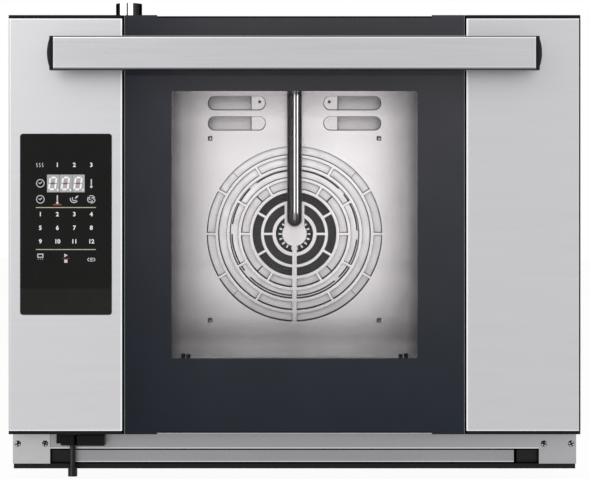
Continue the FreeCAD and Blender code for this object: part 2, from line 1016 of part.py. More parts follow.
def insulation():
    """Mineral wool slabs over the liner's top, bottom, sides and back."""
    length = (liner_front, liner_rear)
    height = (liner_bottom - insulation_thickness, insulation_top)
    top_z = (liner_top, insulation_top)
    top = block((-liner_half, liner_half), length, top_z)
    top = top.cut(rod_z(chimney_diameter + 2 * fit_clearance, chimney_x, chimney_y, top_z))
    top = top.cut(rod_z(water_tube_diameter + 2 * water_hole_clearance, 0, pipe_y, top_z))
    bottom = block((-liner_half, liner_half), length, (height[0], liner_bottom))
    outer = liner_half + insulation_thickness
    sides = [block((side * liner_half, side * outer), length, height) for side in (-1, 1)]
    back = block((-outer, outer), (liner_rear, service_front), height).cut(rear_passages())
    return Part.makeCompound([top, bottom] + sides + [back])


# Fan guard

def guard_z():
    return grown((cavity_floor, cavity_ceiling), -guard_end_margin)


def bar_from_centre(angle, length, width, thickness):
    """Flat bar from the fan's axis outwards, for a spoke between two slots."""
    bar = block((0, length), thickness, span(0, width))
    bar.rotate(Vector(0, 0, 0), along_y, -angle)
    bar.translate(Vector(0, 0, fan_z))
    return bar


def ring_slots(inner, outer, angles, width, top_width, thickness):
    """Ring-shaped cut about the fan's axis, with bars left standing at the top, the foot and given angles."""
    ring = rod_y(2 * outer, 0, fan_z, thickness).cut(rod_y(2 * inner, 0, fan_z, thickness))
    spokes = [bar_from_centre(angle, 2 * outer, width, thickness) for angle in angles]
    spokes.append(bar_from_centre(90, 2 * outer, top_width, thickness))
    spokes.append(bar_from_centre(270, 2 * outer, centre_bar_width, thickness))
    return ring.cut(Part.makeCompound(spokes))


def vent_places():
    """Middles of the slots in the guard's upper corners."""
    x = vent_inner_edge + vent_length / 2
    high = guard_z()[1] - vent_drop
    return [(side * x, z) for side in (-1, 1) for z in (high, high - vent_pitch)]


def peg_places():
    low = guard_z()[0] + peg_rise
    high = guard_z()[1] - peg_drop
    return [(side * peg_offset, z) for side in (-1, 1) for z in (low, high)]


def fan_guard():
    thickness = (guard_front, guard_rear)
    hub_slot = (hub_slot_inner_radius, hub_slot_outer_radius)
    cuts = [ring_slots(*hub_slot, [], spoke_width, pipe_tab_width, thickness)]
    for index, angles in enumerate(ring_spoke_angles):
        inner = ring_inner_radius + index * ring_pitch
        top_width = spoke_width if index else pipe_tab_width
        cuts.append(ring_slots(inner, inner + ring_width, angles, spoke_width, top_width, thickness))
    for x, z in vent_places():
        slot = block(span(x, vent_length), thickness, span(z, vent_height))
        cuts.append(rounded(slot, vent_height / 2 - fit_clearance, along_y))
    for x, z in peg_places():
        cuts.append(block(span(x, peg_hole_size), thickness, span(z, peg_hole_size)))
    plate = block((-guard_half, guard_half), thickness, guard_z())
    return plate.cut(Part.makeCompound(cuts))


def vent_plate():
    """Sheet behind the guard that closes the inner ends of its corner slots."""
    thickness = (guard_rear, guard_rear + vent_plate_sheet)
    high = guard_z()[1] - vent_drop
    reach = vent_height / 2 + vent_plate_margin
    z = (high - vent_pitch - reach, high + reach)
    plate = block((-vent_plate_half_width, vent_plate_half_width), thickness, z)
    for side in (-1, 1):
        plate = plate.cut(
            rod_y(vent_hole_diameter, side * vent_hole_offset, high + vent_hole_rise, thickness)
        )
    return plate


def guard_pegs():
    """Square pegs on the cavity's rear wall, whose tips pass through the guard."""
    def peg(x, z):
        shoulder = block(span(x, peg_shoulder_size), (guard_rear, cavity_rear), span(z, peg_shoulder_size))
        tip = block(span(x, peg_size), (guard_front - peg_tip, guard_rear), span(z, peg_size))
        return fused([shoulder, tip])
    return Part.makeCompound([peg(x, z) for x, z in peg_places()])


# Convection fan, motor and heater

def fan_plate_y():
    rear = cavity_rear - fan_wall_gap
    return (rear - fan_sheet, rear)


def fan_wheel():
    """Blades between a rear plate with a hub and a front ring."""
    plate_y = fan_plate_y()
    blade_y = (plate_y[0] - fan_blade_depth, plate_y[0])
    ring_y = (blade_y[0] - fan_sheet, blade_y[0])
    ring = rod_y(fan_diameter, 0, fan_z, ring_y).cut(rod_y(2 * fan_ring_inner_radius, 0, fan_z, ring_y))
    parts = [rod_y(fan_diameter, 0, fan_z, plate_y), ring]
    blade_x = (fan_blade_inner_radius, fan_diameter / 2 - fan_blade_rim_gap)
    for index in range(fan_blade_count):
        blade = block(blade_x, blade_y, span(0, fan_sheet))
        blade.rotate(Vector(0, 0, 0), along_y, index * 360 / fan_blade_count)
        blade.translate(Vector(0, 0, fan_z))
        parts.append(blade)
    parts.append(rod_y(fan_hub_diameter, 0, fan_z, (fan_hub_front(), plate_y[0])))
    bore = rod_y(shaft_diameter + 2 * fit_clearance, 0, fan_z, (fan_hub_front(), plate_y[1]))
    return fused(parts).cut(bore)


def fan_hub_front():
    return fan_plate_y()[0] - fan_hub_length


def motor_shaft():
    rear = service_front + motor_plate_sheet + motor_length - motor_cap_wall
    return rod_y(shaft_diameter, 0, fan_z, (fan_hub_front() - nut_length, rear))


def shaft_nut():
    corner_radius = nut_across_flats / math.sqrt(3)
    rear = fan_hub_front()
    corners = []
    for index in range(7):
        angle = math.radians(60 * index)
        corners.append(
            Vector(corner_radius * math.cos(angle), rear, fan_z + corner_radius * math.sin(angle))
        )
    nut = Part.Face(Part.makePolygon(corners)).extrude(Vector(0, -nut_length, 0))
    return nut.cut(rod_y(shaft_diameter + 2 * fit_clearance, 0, fan_z, (rear - nut_length, rear)))


def motor_plate():
    thickness = (service_front, service_front + motor_plate_sheet)
    plate = block(span(0, motor_plate_size), thickness, span(fan_z, motor_plate_size))
    return plate.cut(rod_y(shaft_passage, 0, fan_z, thickness))


def fan_motor():
    front = service_front + motor_plate_sheet
    body = rod_y(motor_diameter, 0, fan_z, (front, front + motor_length))
    bore_y = (front, front + motor_length - motor_cap_wall)
    return body.cut(rod_y(shaft_diameter + 2 * running_clearance, 0, fan_z, bore_y))


def ring_point(angle):
    """Point on the heating element's ring."""
    turn = math.radians(angle)
    y = cavity_rear - element_standoff
    return Vector(element_radius * math.cos(turn), y, fan_z + element_radius * math.sin(turn))


def element_angles():
    """Ends of the element's ring, on each side of the gap at its foot."""
    return (-90 + element_open_angle / 2, 270 - element_open_angle / 2)


def element_tangents():
    """Directions in which the tube leaves the ring at its two ends."""
    start, end = element_angles()
    turn_start = math.radians(start - 90)
    turn_end = math.radians(end + 90)
    return (
        Vector(math.cos(turn_start), 0, math.sin(turn_start)),
        Vector(math.cos(turn_end), 0, math.sin(turn_end)),
    )


def element_ends():
    """Places where the element's two legs pass through the rear wall."""
    start, end = [ring_point(angle) for angle in element_angles()]
    first, second = element_tangents()
    return (start + first * element_bend_radius, end + second * element_bend_radius)


def heating_element():
    """One tube: a ring round the fan with both ends bent back through the rear wall."""
    angles = element_angles()
    lean = math.sin(math.radians(45))
    rear = service_front + element_tail

    def leg(angle, tangent):
        foot = ring_point(angle)
        middle = foot + tangent * (element_bend_radius * lean)
        middle = middle + along_y * (element_bend_radius * (1 - lean))
        bend_end = foot + (tangent + along_y) * element_bend_radius
        return foot, middle, bend_end, Vector(bend_end.x, rear, bend_end.z)

    foot_a, middle_a, bend_a, tail_a = leg(angles[0], element_tangents()[0])
    foot_b, middle_b, bend_b, tail_b = leg(angles[1], element_tangents()[1])
    edges = [
        Part.LineSegment(tail_a, bend_a).toShape(),
        Part.Arc(bend_a, middle_a, foot_a).toShape(),
        Part.Arc(foot_a, ring_point(sum(angles) / 2), foot_b).toShape(),
        Part.Arc(foot_b, middle_b, bend_b).toShape(),
        Part.LineSegment(bend_b, tail_b).toShape(),
    ]
    return swept(edges, element_diameter)


# Chimney, humidity pipe and water line

def chimney():
    top = casing_top + chimney_rise
    tube = rod_z(chimney_diameter, chimney_x, chimney_y, (liner_top, top))
    flange_z = (casing_top, casing_top + chimney_flange_height)
    flange = rod_z(chimney_flange_diameter, chimney_x, chimney_y, flange_z)
    bore = rod_z(chimney_diameter - 2 * chimney_wall, chimney_x, chimney_y, (liner_top, top))
    return fused([tube, flange]).cut(bore)


def humidity_pipe():
    """Pipe down the middle of the cavity, closed by a half sphere."""
    middle = Vector(0, pipe_y, fan_z + pipe_end_above_fan + pipe_diameter / 2)
    tube = rod_z(pipe_diameter, 0, pipe_y, (middle.z, cavity_ceiling))
    bore = rod_z(pipe_diameter - 2 * pipe_wall, 0, pipe_y, (middle.z, cavity_ceiling))
    return fused([tube, Part.makeSphere(pipe_diameter / 2, middle)]).cut(bore)


def inlet_z():
    return base_bottom + valve_rise


def valve_y():
    return (cover_front - valve_depth, cover_front)


def water_tube():
    """Tube from the valve's top, over the insulation, to the top of the humidity pipe."""
    run = insulation_top + water_tube_bend + slide_clearance
    valve_middle = sum(valve_y()) / 2
    points = [
        Vector(0, pipe_y, liner_top),
        Vector(0, pipe_y, run),
        Vector(valve_x, pipe_y, run),
        Vector(valve_x, valve_middle, run),
        Vector(valve_x, valve_middle, inlet_z() + valve_height / 2),
    ]
    edges = bent_path(points, water_tube_bend)
    return swept(edges, water_tube_diameter).cut(swept(edges, water_tube_bore))


def water_valve():
    """Solenoid valve whose threaded inlet passes through the rear cover."""
    body = block(span(valve_x, valve_width), valve_y(), span(inlet_z(), valve_height))
    collar_y = (cover_front, casing_rear + inlet_collar_proud)
    collar = rod_y(inlet_collar_diameter, valve_x, inlet_z(), collar_y)
    inlet = rod_y(inlet_diameter, valve_x, inlet_z(), (collar_y[1], rear_limit))
    bore = rod_y(inlet_bore, valve_x, inlet_z(), (cover_front - inlet_depth, rear_limit))
    return fused([body, collar, inlet]).cut(bore)


# Tray racks

def rack_post_places():
    return (body_front + rack_end_margin, guard_front - rack_end_margin)


def tray_rack(side):
    """Two upright strips that carry three ledges for trays."""
    outer = side * (cavity_half - rack_wall_gap)
    inner = outer - side * rack_post_thickness
    z = (cavity_floor + rack_floor_gap, cavity_ceiling - rack_top_gap)
    parts = [block((outer, inner), span(y, rack_post_width), z) for y in rack_post_places()]
    ends = grown(rack_post_places(), rack_post_width / 2)
    for index in range(rack_level_count):
        shelf = cavity_floor + rack_first_level + index * rack_level_pitch
        flat_x = (inner, inner - side * rack_ledge_width)
        back_x = (inner, inner - side * rack_ledge_sheet)
        parts.append(block(flat_x, ends, (shelf - rack_ledge_sheet, shelf)))
        parts.append(block(back_x, ends, (shelf - rack_ledge_sheet, shelf + rack_ledge_height)))
    return fused(parts)


def left_tray_rack():
    return tray_rack(-1)


def right_tray_rack():
    return tray_rack(1)


def rack_studs():
    """Studs on the cavity's side walls that carry the racks."""
    heights = (
        cavity_floor + rack_floor_gap + stud_inset,
        cavity_ceiling - rack_top_gap - stud_inset,
    )
    studs = []
    for side in (-1, 1):
        length = (side * cavity_half, side * (cavity_half - rack_wall_gap))
        for y in rack_post_places():
            studs += [rod_x(stud_diameter, length, y, z) for z in heights]
    return Part.makeCompound(studs)


# Electrics in the rear compartment

def power_board():
    """Circuit board on four posts, with a row of relays."""
    board_x = board_post_length - casing_inner_half
    low = base_bottom + power_board_rise
    front = service_front + power_board_margin
    y = (front, front + power_board_width)
    z = (low, low + power_board_height)
    parts = [block((board_x, board_x + board_thickness), y, z)]
    for post_y in grown(y, -board_post_inset):
        for post_z in grown(z, -board_post_inset):
            parts.append(rod_x(board_post_diameter, (-casing_inner_half, board_x), post_y, post_z))
    pitch = power_board_height / relay_count
    relay_x = (board_x + board_thickness, board_x + board_thickness + relay_height)
    for index in range(relay_count):
        relay_z = span(low + pitch * (index + 0.5), relay_size)
        parts.append(block(relay_x, span(sum(y) / 2, relay_size), relay_z))
    return fused(parts)


def terminal_block():
    rear = cover_front - terminal_rear_gap
    y = (rear - terminal_depth, rear)
    return block(span(gland_x, terminal_width), y, (base_floor, base_floor + terminal_height))


def cable_gland():
    """Cable entry in the rear cover, with a nut on each side of the sheet."""
    z = base_bottom + gland_rise
    barrel = rod_y(gland_diameter, gland_x, z, (cover_front - gland_nut_length, rear_limit))
    outer_nut = rod_y(gland_nut_diameter, gland_x, z, (casing_rear, casing_rear + gland_nut_length))
    inner_nut = rod_y(gland_nut_diameter, gland_x, z, (cover_front - gland_nut_length, cover_front))
    bore = rod_y(gland_bore, gland_x, z, (cover_front - gland_nut_length, rear_limit))
    return fused([barrel, outer_nut, inner_nut]).cut(bore)


def cooler_z():
    return base_bottom + cooler_rise


def cooler_y():
    return (cover_front - cooler_depth, cover_front)


def cooling_fan_frame():
    """Square frame with a cross of struts that carries the rotor's spindle."""
    y = cooler_y()
    frame = block(span(cooler_x, cooler_size), y, span(cooler_z(), cooler_size))
    frame = frame.cut(rod_y(cooler_bore, cooler_x, cooler_z(), y))
    strut_y = (y[1] - cooler_strut_depth, y[1])
    upright = block(span(cooler_x, cooler_strut_width), strut_y, span(cooler_z(), cooler_size))
    cross = block(span(cooler_x, cooler_size), strut_y, span(cooler_z(), cooler_strut_width))
    disc = rod_y(cooler_hub_diameter, cooler_x, cooler_z(), strut_y)
    spindle_y = (strut_y[0] - cooler_hub_depth, strut_y[0])
    spindle = rod_y(cooler_spindle_diameter, cooler_x, cooler_z(), spindle_y)
    return fused([frame, upright, cross, disc, spindle])


def cooling_fan_rotor():
    rear = cooler_y()[1] - cooler_strut_depth - cooler_rotor_gap
    y = (rear - cooler_hub_depth, rear)
    hub = rod_y(cooler_hub_diameter, cooler_x, cooler_z(), y)
    parts = [hub]
    for index in range(cooler_blade_count):
        blade = block(
            (0, cooler_bore / 2 - cooler_tip_gap),
            span(0, cooler_blade_sheet),
            span(0, cooler_blade_width),
        )
        blade.rotate(Vector(0, 0, 0), along_x, 45)
        blade.rotate(Vector(0, 0, 0), along_y, index * 360 / cooler_blade_count)
        blade.translate(Vector(cooler_x, sum(y) / 2, cooler_z()))
        parts.append(blade)
    bore = rod_y(cooler_spindle_diameter + 2 * running_clearance, cooler_x, cooler_z(), y)
    return fused(parts).cut(bore)


def probe_z():
    return cavity_ceiling - probe_drop


def cavity_probe():
    tip = cavity_rear - probe_reach
    stem = rod_y(probe_diameter, probe_x, probe_z(), (tip, service_front))
    head_y = (service_front, service_front + probe_head_length)
    return fused([stem, rod_y(probe_head_diameter, probe_x, probe_z(), head_y)])


def safety_thermostat():
    z = base_bottom + thermostat_rise
    y = service_front + service_depth / 2
    inner = casing_inner_half - thermostat_depth
    body = block((inner, casing_inner_half), span(y, thermostat_size), span(z, thermostat_size))
    stem = rod_x(thermostat_stem_diameter, (inner - thermostat_stem_length, inner), y, z)
    return fused([body, stem])


PIECES = [
    base_tray, feet, left_bracket, front_rail, bracket_screws, drip_tray, tray_guides,
    drain_cup, drain_fitting, drain_spout,
    left_door_panel, right_door_panel, panel_trims, outer_glass, glass_frame, door_back_plate,
    inner_glass, inner_glass_clips, door_lamp, handle_bar, handle_caps, handle_posts,
    control_glass, control_housing, control_board, display_module,
    hinge_blocks, hinge_pins, hinge_arms, hinge_housings,
    casing_shell, front_frame, door_gasket, rear_cover, rear_screws, cavity_liner, insulation,
    fan_guard, vent_plate, guard_pegs,
    fan_wheel, motor_shaft, shaft_nut, motor_plate, fan_motor, heating_element,
    chimney, humidity_pipe, water_tube, water_valve,
    left_tray_rack, right_tray_rack, rack_studs,
    power_board, terminal_block, cable_gland, cooling_fan_frame, cooling_fan_rotor,
    cavity_probe, safety_thermostat,
]

os.makedirs("parts", exist_ok=True)
for piece in PIECES:
    piece().exportStep("parts/" + piece.__name__ + ".step")
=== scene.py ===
import math

import bmesh
import bpy
from bpy.props import FloatProperty, FloatVectorProperty, IntProperty, PointerProperty
from mathutils import Matrix, Vector


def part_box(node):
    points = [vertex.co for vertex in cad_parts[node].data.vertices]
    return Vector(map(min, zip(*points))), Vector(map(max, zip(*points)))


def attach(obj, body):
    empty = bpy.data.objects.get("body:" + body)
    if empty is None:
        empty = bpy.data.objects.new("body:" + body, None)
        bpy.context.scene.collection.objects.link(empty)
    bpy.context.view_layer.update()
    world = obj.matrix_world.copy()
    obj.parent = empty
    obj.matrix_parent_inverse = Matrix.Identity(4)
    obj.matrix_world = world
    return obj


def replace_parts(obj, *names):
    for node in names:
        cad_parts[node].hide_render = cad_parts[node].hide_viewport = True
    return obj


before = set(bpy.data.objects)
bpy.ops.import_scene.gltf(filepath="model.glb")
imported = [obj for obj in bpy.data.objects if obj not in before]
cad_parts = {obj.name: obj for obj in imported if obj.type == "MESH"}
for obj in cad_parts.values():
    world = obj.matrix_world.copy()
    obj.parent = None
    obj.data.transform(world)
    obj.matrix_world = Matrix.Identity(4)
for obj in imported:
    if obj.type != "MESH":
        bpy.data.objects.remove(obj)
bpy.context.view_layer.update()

bl_info = {
    "name": "Convection oven",
    "version": (1, 0, 0),
    "blender": (4, 5, 0),
    "location": "3D View > Sidebar > Oven",
    "description": "Dresses the CAD model of a compact convection oven",
    "category": "Object",
}

MM = 0.001
# Thickness of soot and trim that lie on a face, and the corner radius of thin strips.
FILM = 0.1 * MM
STRIP_CORNER = 0.2 * MM
# How finishes' noise patterns stretch into lines: brushed and rolled along X, and drawn along Z.
BRUSHED = (0.02, 1, 1)
ROLLED = (0.3, 1, 1)
DRAWN = (1, 1, 0.05)


def linear(colour):
    """Linear values of an sRGB hex colour."""
    values = [int(colour[place:place + 2], 16) / 255 for place in (1, 3, 5)]
    return tuple(v / 12.92 if v <= 0.04045 else ((v + 0.055) / 1.055) ** 2.4 for v in values)


def opaque(colour):
    """A linear colour with full alpha, as node sockets take it."""
    return (*colour[:3], 1.0)


def shifted(colour, factor):
    """A linear colour made lighter or darker."""
    return tuple(min(1.0, value * factor) for value in colour[:3])


def finish_colour(name, description, colour):
    """A colour setting, with an sRGB hex colour as its default."""
    return FloatVectorProperty(
        name=name, description=description, subtype="COLOR", min=0, max=1, default=linear(colour))


def detail_size(name, description, millimetres):
    """A length setting, with its default in millimetres."""
    return FloatProperty(name=name, description=description, unit="LENGTH", default=millimetres * MM)


class OvenColours(bpy.types.PropertyGroup):
    """Colours of the oven's finishes."""
    panel_steel: finish_colour("Door steel", "Brushed stainless of the door's side panels", "#c2c2c4")
    handle_steel: finish_colour("Handle steel", "Satin stainless of the handle", "#bfbfc2")
    rail_steel: finish_colour("Rail steel", "Dull stainless of the base rail and the drip tray", "#99989b")
    bracket_steel: finish_colour("Bracket steel", "Stainless of the corner brackets", "#b7b7b8")
    cavity_steel: finish_colour("Cavity steel", "Bright stainless of the liner, guard and racks", "#c0bcbd")
    casing_steel: finish_colour("Casing steel", "Satin stainless of the casing and rear cover", "#b3b3b5")
    border_glass: finish_colour("Glass border", "Dark print behind the border of the door glass", "#46464b")
    control_black: finish_colour("Control glass", "Black print behind the control glass", "#151514")
    base_black: finish_colour("Base black", "Semi-gloss black paint of the base tray", "#121012")
    plastic_black: finish_colour("Black plastic", "Moulded black plastic of trims, caps and drain", "#0b0b0c")
    print_white: finish_colour("Panel print", "White print on the control glass", "#fbfbfb")
    print_gold: finish_colour("Panel lines", "Gold lines on the control glass", "#cec5a9")


class OvenSizes(bpy.types.PropertyGroup):
    """Sizes of the details that are made here."""
    glass_edge: detail_size("Glass edge", "Width of the ground edge of the door glass", 0.7)
    window_corner: detail_size("Window corner", "Corner radius of the clear window", 2.0)
    print_height: detail_size("Print height", "How far the print stands proud of the control glass", 0.12)
    number_height: detail_size("Number size", "Font size of the numbers on the control glass", 6.2)
    column_pitch: detail_size("Key columns", "Distance between the columns of touch keys", 17.8)
    row_pitch: detail_size("Key rows", "Distance between the rows of touch keys", 14.25)
    recess_length: detail_size("Screw recess", "Length of the cross in a screw's head", 5.2)
    recess_width: detail_size("Recess width", "Width of the cross in a screw's head", 1.6)
    # The slot shade is painted shade along the edges of the guard's slots.
    slot_edge: detail_size("Slot edge", "Width of the painted shade in the guard's slots", 0.8)
    hood_depth: detail_size("Louvre depth", "How far the louvre hoods stand off the rear cover", 4.0)
    hood_count: IntProperty(
        name="Louvres", description="Number of louvre hoods on the rear cover", default=9)


def add_node(tree, kind, settings=None, inputs=None):
    """Adds a node with its settings and inputs: values, and links from sockets, from the first outputs of
    nodes, or from several of them in a list."""
    node = tree.nodes.new(kind)
    for key, value in (settings or {}).items():
        setattr(node, key, value)
    for key, value in (inputs or {}).items():
        for source in value if isinstance(value, list) else [value]:
            if isinstance(source, bpy.types.Node):
                source = source.outputs[0]
            if isinstance(source, bpy.types.NodeSocket):
                tree.links.new(source, node.inputs[key])
            else:
                node.inputs[key].default_value = source
    return node


def new_material(name, **constants):
    """A material with its shader alone, whose constants are named after its sockets."""
    material = bpy.data.materials.new(name)
    material.use_nodes = True
    tree = material.node_tree
    tree.nodes.clear()
    shader = add_node(tree, "ShaderNodeBsdfPrincipled")
    for key, value in constants.items():
        shader.inputs[key.replace("_", " ").title().replace("Ior", "IOR")].default_value = value
    add_node(tree, "ShaderNodeOutputMaterial", inputs={"Surface": shader})
    return material, tree, shader


def grained(name, colour, contrast, grain, rough, relief=0.0, stretch=(1, 1, 1), **constants):
    """A finish whose colour, roughness and relief follow one noise pattern of a real grain size."""
    material, tree, shader = new_material(name, **constants)
    place = add_node(tree, "ShaderNodeTexCoord")
    mapping = add_node(
        tree, "ShaderNodeMapping", inputs={"Vector": place.outputs["Object"], "Scale": stretch})
    noise = add_node(tree, "ShaderNodeTexNoise", inputs={
        "Vector": mapping, "Scale": 1 / grain, "Detail": 4.0, "Roughness": 0.6})
    # The noise keeps mostly to this range.
    least, most = 0.3, 0.7
    ramp = add_node(tree, "ShaderNodeValToRGB", inputs={"Fac": noise})
    for element, where, factor in zip(ramp.color_ramp.elements, (least, most), (1 - contrast, 1 + contrast)):
        element.position = where
        element.color = opaque(shifted(colour, factor))
    spread = add_node(tree, "ShaderNodeMapRange", inputs={
        "Value": noise, "From Min": least, "From Max": most,
        "To Min": rough[0], "To Max": rough[1]})
    tree.links.new(ramp.outputs["Color"], shader.inputs["Base Color"])
    tree.links.new(spread.outputs["Result"], shader.inputs["Roughness"])
    if relief:
        bump = add_node(
            tree, "ShaderNodeBump", inputs={"Height": noise, "Strength": 0.5, "Distance": relief})
        tree.links.new(bump.outputs["Normal"], shader.inputs["Normal"])
    return material


def toned(material, axis, stops, name=None):
    """Multiplies a finish's colour by a tone, grey or coloured, that changes along an axis, in metres."""
    tree = material.node_tree
    shader = next(node for node in tree.nodes if node.type == "BSDF_PRINCIPLED")
    plain = shader.inputs["Base Color"].links[0].from_socket
    place = next(node for node in tree.nodes if node.type == "TEX_COORD")
    split = add_node(tree, "ShaderNodeSeparateXYZ", inputs={"Vector": place.outputs["Object"]})
    low, high = stops[0][0], stops[-1][0]
    along = add_node(tree, "ShaderNodeMapRange", inputs={
        "Value": split.outputs[axis], "From Min": low, "From Max": high})
    tone = add_node(tree, "ShaderNodeValToRGB", inputs={"Fac": along})
    while len(tone.color_ramp.elements) < len(stops):
        tone.color_ramp.elements.new(0.5)
    for element, (where, value) in zip(tone.color_ramp.elements, stops):
        element.position = (where - low) / (high - low)
        element.color = opaque(value) if isinstance(value, tuple) else (value, value, value, 1.0)
    mix = add_node(tree, "ShaderNodeMix", {"data_type": "RGBA", "blend_type": "MULTIPLY"}, {
        "Factor": 1.0, "A": plain, "B": tone})
    tree.links.new(mix.outputs["Result"], shader.inputs["Base Color"])
    material.name = name or material.name
    return material


def stops_from(start, stops):
    """Tone stops in metres, from their distances in millimetres from a start."""
    return [(start + distance * MM, tone) for distance, tone in stops]


def both_ends(low, high, stops):
    """Tone stops that run alike from both ends inwards, by their distances in millimetres."""
    return stops_from(low, stops) + stops_from(high, [(-distance, tone) for distance, tone in stops[::-1]])


def dress(material, *nodes):
    """Gives CAD nodes a material."""
    for name in nodes:
        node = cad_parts[name]
        if not node.material_slots:
            node.data.materials.append(material)
        for place in node.material_slots:
            place.material = material


def link_object(name, data):
    """Adds an object to the scene."""
    item = bpy.data.objects.new(name, data)
    bpy.context.scene.collection.objects.link(item)
    return item


def plain_mesh(holder):
    """The mesh that an object shows, without the object."""
    bpy.context.view_layer.update()
    depsgraph = bpy.context.evaluated_depsgraph_get()
    mesh = bpy.data.meshes.new_from_object(holder.evaluated_get(depsgraph))
    bpy.data.objects.remove(holder)
    return mesh


def finished(bm, name):
    """A mesh from loose bmesh faces, merged and with its faces pointing outwards."""
    bmesh.ops.remove_doubles(bm, verts=bm.verts, dist=1e-6)
    bmesh.ops.recalc_face_normals(bm, faces=bm.faces)
    mesh = bpy.data.meshes.new(name)
    bm.to_mesh(mesh)
    bm.free()
    return mesh


def add_piece(name, shape, body, slot, *materials):
    """Makes a mesh, or loose bmesh faces, a piece of the oven that moves with a body."""
    mesh = finished(shape, name) if isinstance(shape, bmesh.types.BMesh) else shape
    for material in materials:
        mesh.materials.append(material)
    piece = link_object(name, mesh)
    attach(piece, body)
    return piece


def prism(bm, outline, front, rear, slot=0):
    """Adds a flat plate from a closed outline of (x, z) points between two Y limits."""
    near = [bm.verts.new((x, front, z)) for x, z in outline]
    far = [bm.verts.new((x, rear, z)) for x, z in outline]
    faces = [bm.faces.new(near), bm.faces.new(far[::-1])]
    for index in range(len(outline)):
        after = (index + 1) % len(outline)
        faces.append(bm.faces.new((near[index], far[index], far[after], near[after])))
    for face in faces:
        face.material_index = slot


def strip(bm, x, z, front, rear, slot=0, corner=STRIP_CORNER):
    """Adds a flat plate with round corners, from its X and Z limits in any order and two Y limits."""
    prism(bm, rounded_box(sorted(x), sorted(z), corner), front, rear, slot)


def arc(x, z, radius, start, end, steps=0):
    """Points on an arc, with its angles in degrees, about 5 degrees apart unless their number is given."""
    steps = steps or max(4, round(abs(end - start) / 5))
    angles = [math.radians(start + (end - start) * step / steps) for step in range(steps + 1)]
    return [(x + radius * math.cos(angle), z + radius * math.sin(angle)) for angle in angles]


def circle(x, z, radius):
    """Outline of a disc."""
    return arc(x, z, radius, 0, 360)[:-1]


def band(x, z, outer, inner, start, end):
    """Outline of a part of a ring."""
    return arc(x, z, outer, start, end) + arc(x, z, inner, end, start)


def bar(x0, z0, x1, z1, width):
    """Outline of a straight stroke between two points."""
    along = Vector((x1 - x0, z1 - z0)).normalized() * (width / 2)
    return [(x0 - along.y, z0 + along.x), (x0 + along.y, z0 - along.x),
            (x1 + along.y, z1 - along.x), (x1 - along.y, z1 + along.x)]


def level(x, z, half, width):
    """Outline of a level stroke about a point."""
    return bar(x - half, z, x + half, z, width)


def rounded_box(x, z, radius):
    """Outline of a rectangle with round corners."""
    corners = [(x[1], z[1], 0), (x[0], z[1], 90), (x[0], z[0], 180), (x[1], z[0], 270)]
    outline = []
    for corner_x, corner_z, start in corners:
        centre_x = corner_x - math.copysign(radius, corner_x - sum(x) / 2)
        centre_z = corner_z - math.copysign(radius, corner_z - sum(z) / 2)
        outline += arc(centre_x, centre_z, radius, start, start + 90, 6)
    return outline


def holed_plate(bm, outline, hole, front, rear, slot=0):
    """Adds a plate with one hole, both given as closed outlines of (x, z) points."""
    sheet = bmesh.new()
    edges = []
    for loop in (outline, hole):
        verts = [sheet.verts.new((x, front, z)) for x, z in loop]
        edges += [sheet.edges.new((verts[index - 1], verts[index])) for index in range(len(verts))]
    bmesh.ops.triangle_fill(sheet, use_beauty=True, use_dissolve=False, edges=edges)
    bmesh.ops.recalc_face_normals(sheet, faces=sheet.faces)
    grown = bmesh.ops.extrude_face_region(sheet, geom=sheet.faces[:])
    moved = [item for item in grown["geom"] if isinstance(item, bmesh.types.BMVert)]
    bmesh.ops.translate(sheet, verts=moved, vec=(0, rear - front, 0))
    for face in sheet.faces:
        face.material_index = slot
    mesh = finished(sheet, "plate")
    bm.from_mesh(mesh)
    bpy.data.meshes.remove(mesh)


def instanced(name, points, tree, values):
    """A plain mesh of what a node tree sets on points, with the tree's inputs given by their names."""
    places = bpy.data.meshes.new(name)
    places.from_pydata(points, [], [])
    holder = link_object(name, places)
    modifier = holder.modifiers.new(name, "NODES")
    modifier.node_group = tree
    for item in tree.interface.items_tree:
        if item.in_out == "INPUT" and item.name in values:
            modifier[item.identifier] = values[item.name]
    made = plain_mesh(holder)
    bpy.data.meshes.remove(places)
    bm = bmesh.new()
    bm.from_mesh(made)
    bpy.data.meshes.remove(made)
    mesh = finished(bm, name)
    mesh.materials.append(values["Material"])
    return mesh


def new_tree(name, *sizes):
    """A node tree with sockets for points, sizes and a material, and its inputs."""
    tree = bpy.data.node_groups.new(name, "GeometryNodeTree")
    tree.interface.new_socket("Geometry", in_out="INPUT", socket_type="NodeSocketGeometry")
    for size in sizes:
        tree.interface.new_socket(size, in_out="INPUT", socket_type="NodeSocketFloat")
    tree.interface.new_socket("Material", in_out="INPUT", socket_type="NodeSocketMaterial")
    tree.interface.new_socket("Geometry", in_out="OUTPUT", socket_type="NodeSocketGeometry")
    return tree, add_node(tree, "NodeGroupInput").outputs


def end_tree(tree, given, instances):
    """Makes a tree's instances real, gives them the material and ends the tree."""
    real = add_node(tree, "GeometryNodeRealizeInstances", inputs={"Geometry": instances})
    painted = add_node(
        tree, "GeometryNodeSetMaterial", inputs={"Geometry": real, "Material": given["Material"]})
    add_node(tree, "NodeGroupOutput", inputs={"Geometry": painted})
    return tree


def shared(make):
    """The material that a function makes, made once and kept on the scene under the function's name."""
    scene = bpy.context.scene
    key = "oven_" + make.__name__
    if scene.get(key) is None:
        scene[key] = make()
    return scene[key]


def door_black():
    """Moulded black plastic: fine spark texture, low sheen."""
    colours = bpy.context.scene.oven_colours
    return grained("moulded_black_plastic", colours.plastic_black, 0.25, 1.2 * MM, (0.38, 0.5), 0.04 * MM,
                   specular_ior_level=0.15)


def matte_black():
    """Dead matte black: painted shade in gaps and along edges, and the black ends of the glass sill."""
    return grained("matte_black_and_painted_shade", linear("#0c0c0c"), 0.2, 2 * MM, (0.8, 0.9),
                   specular_ior_level=0.0)


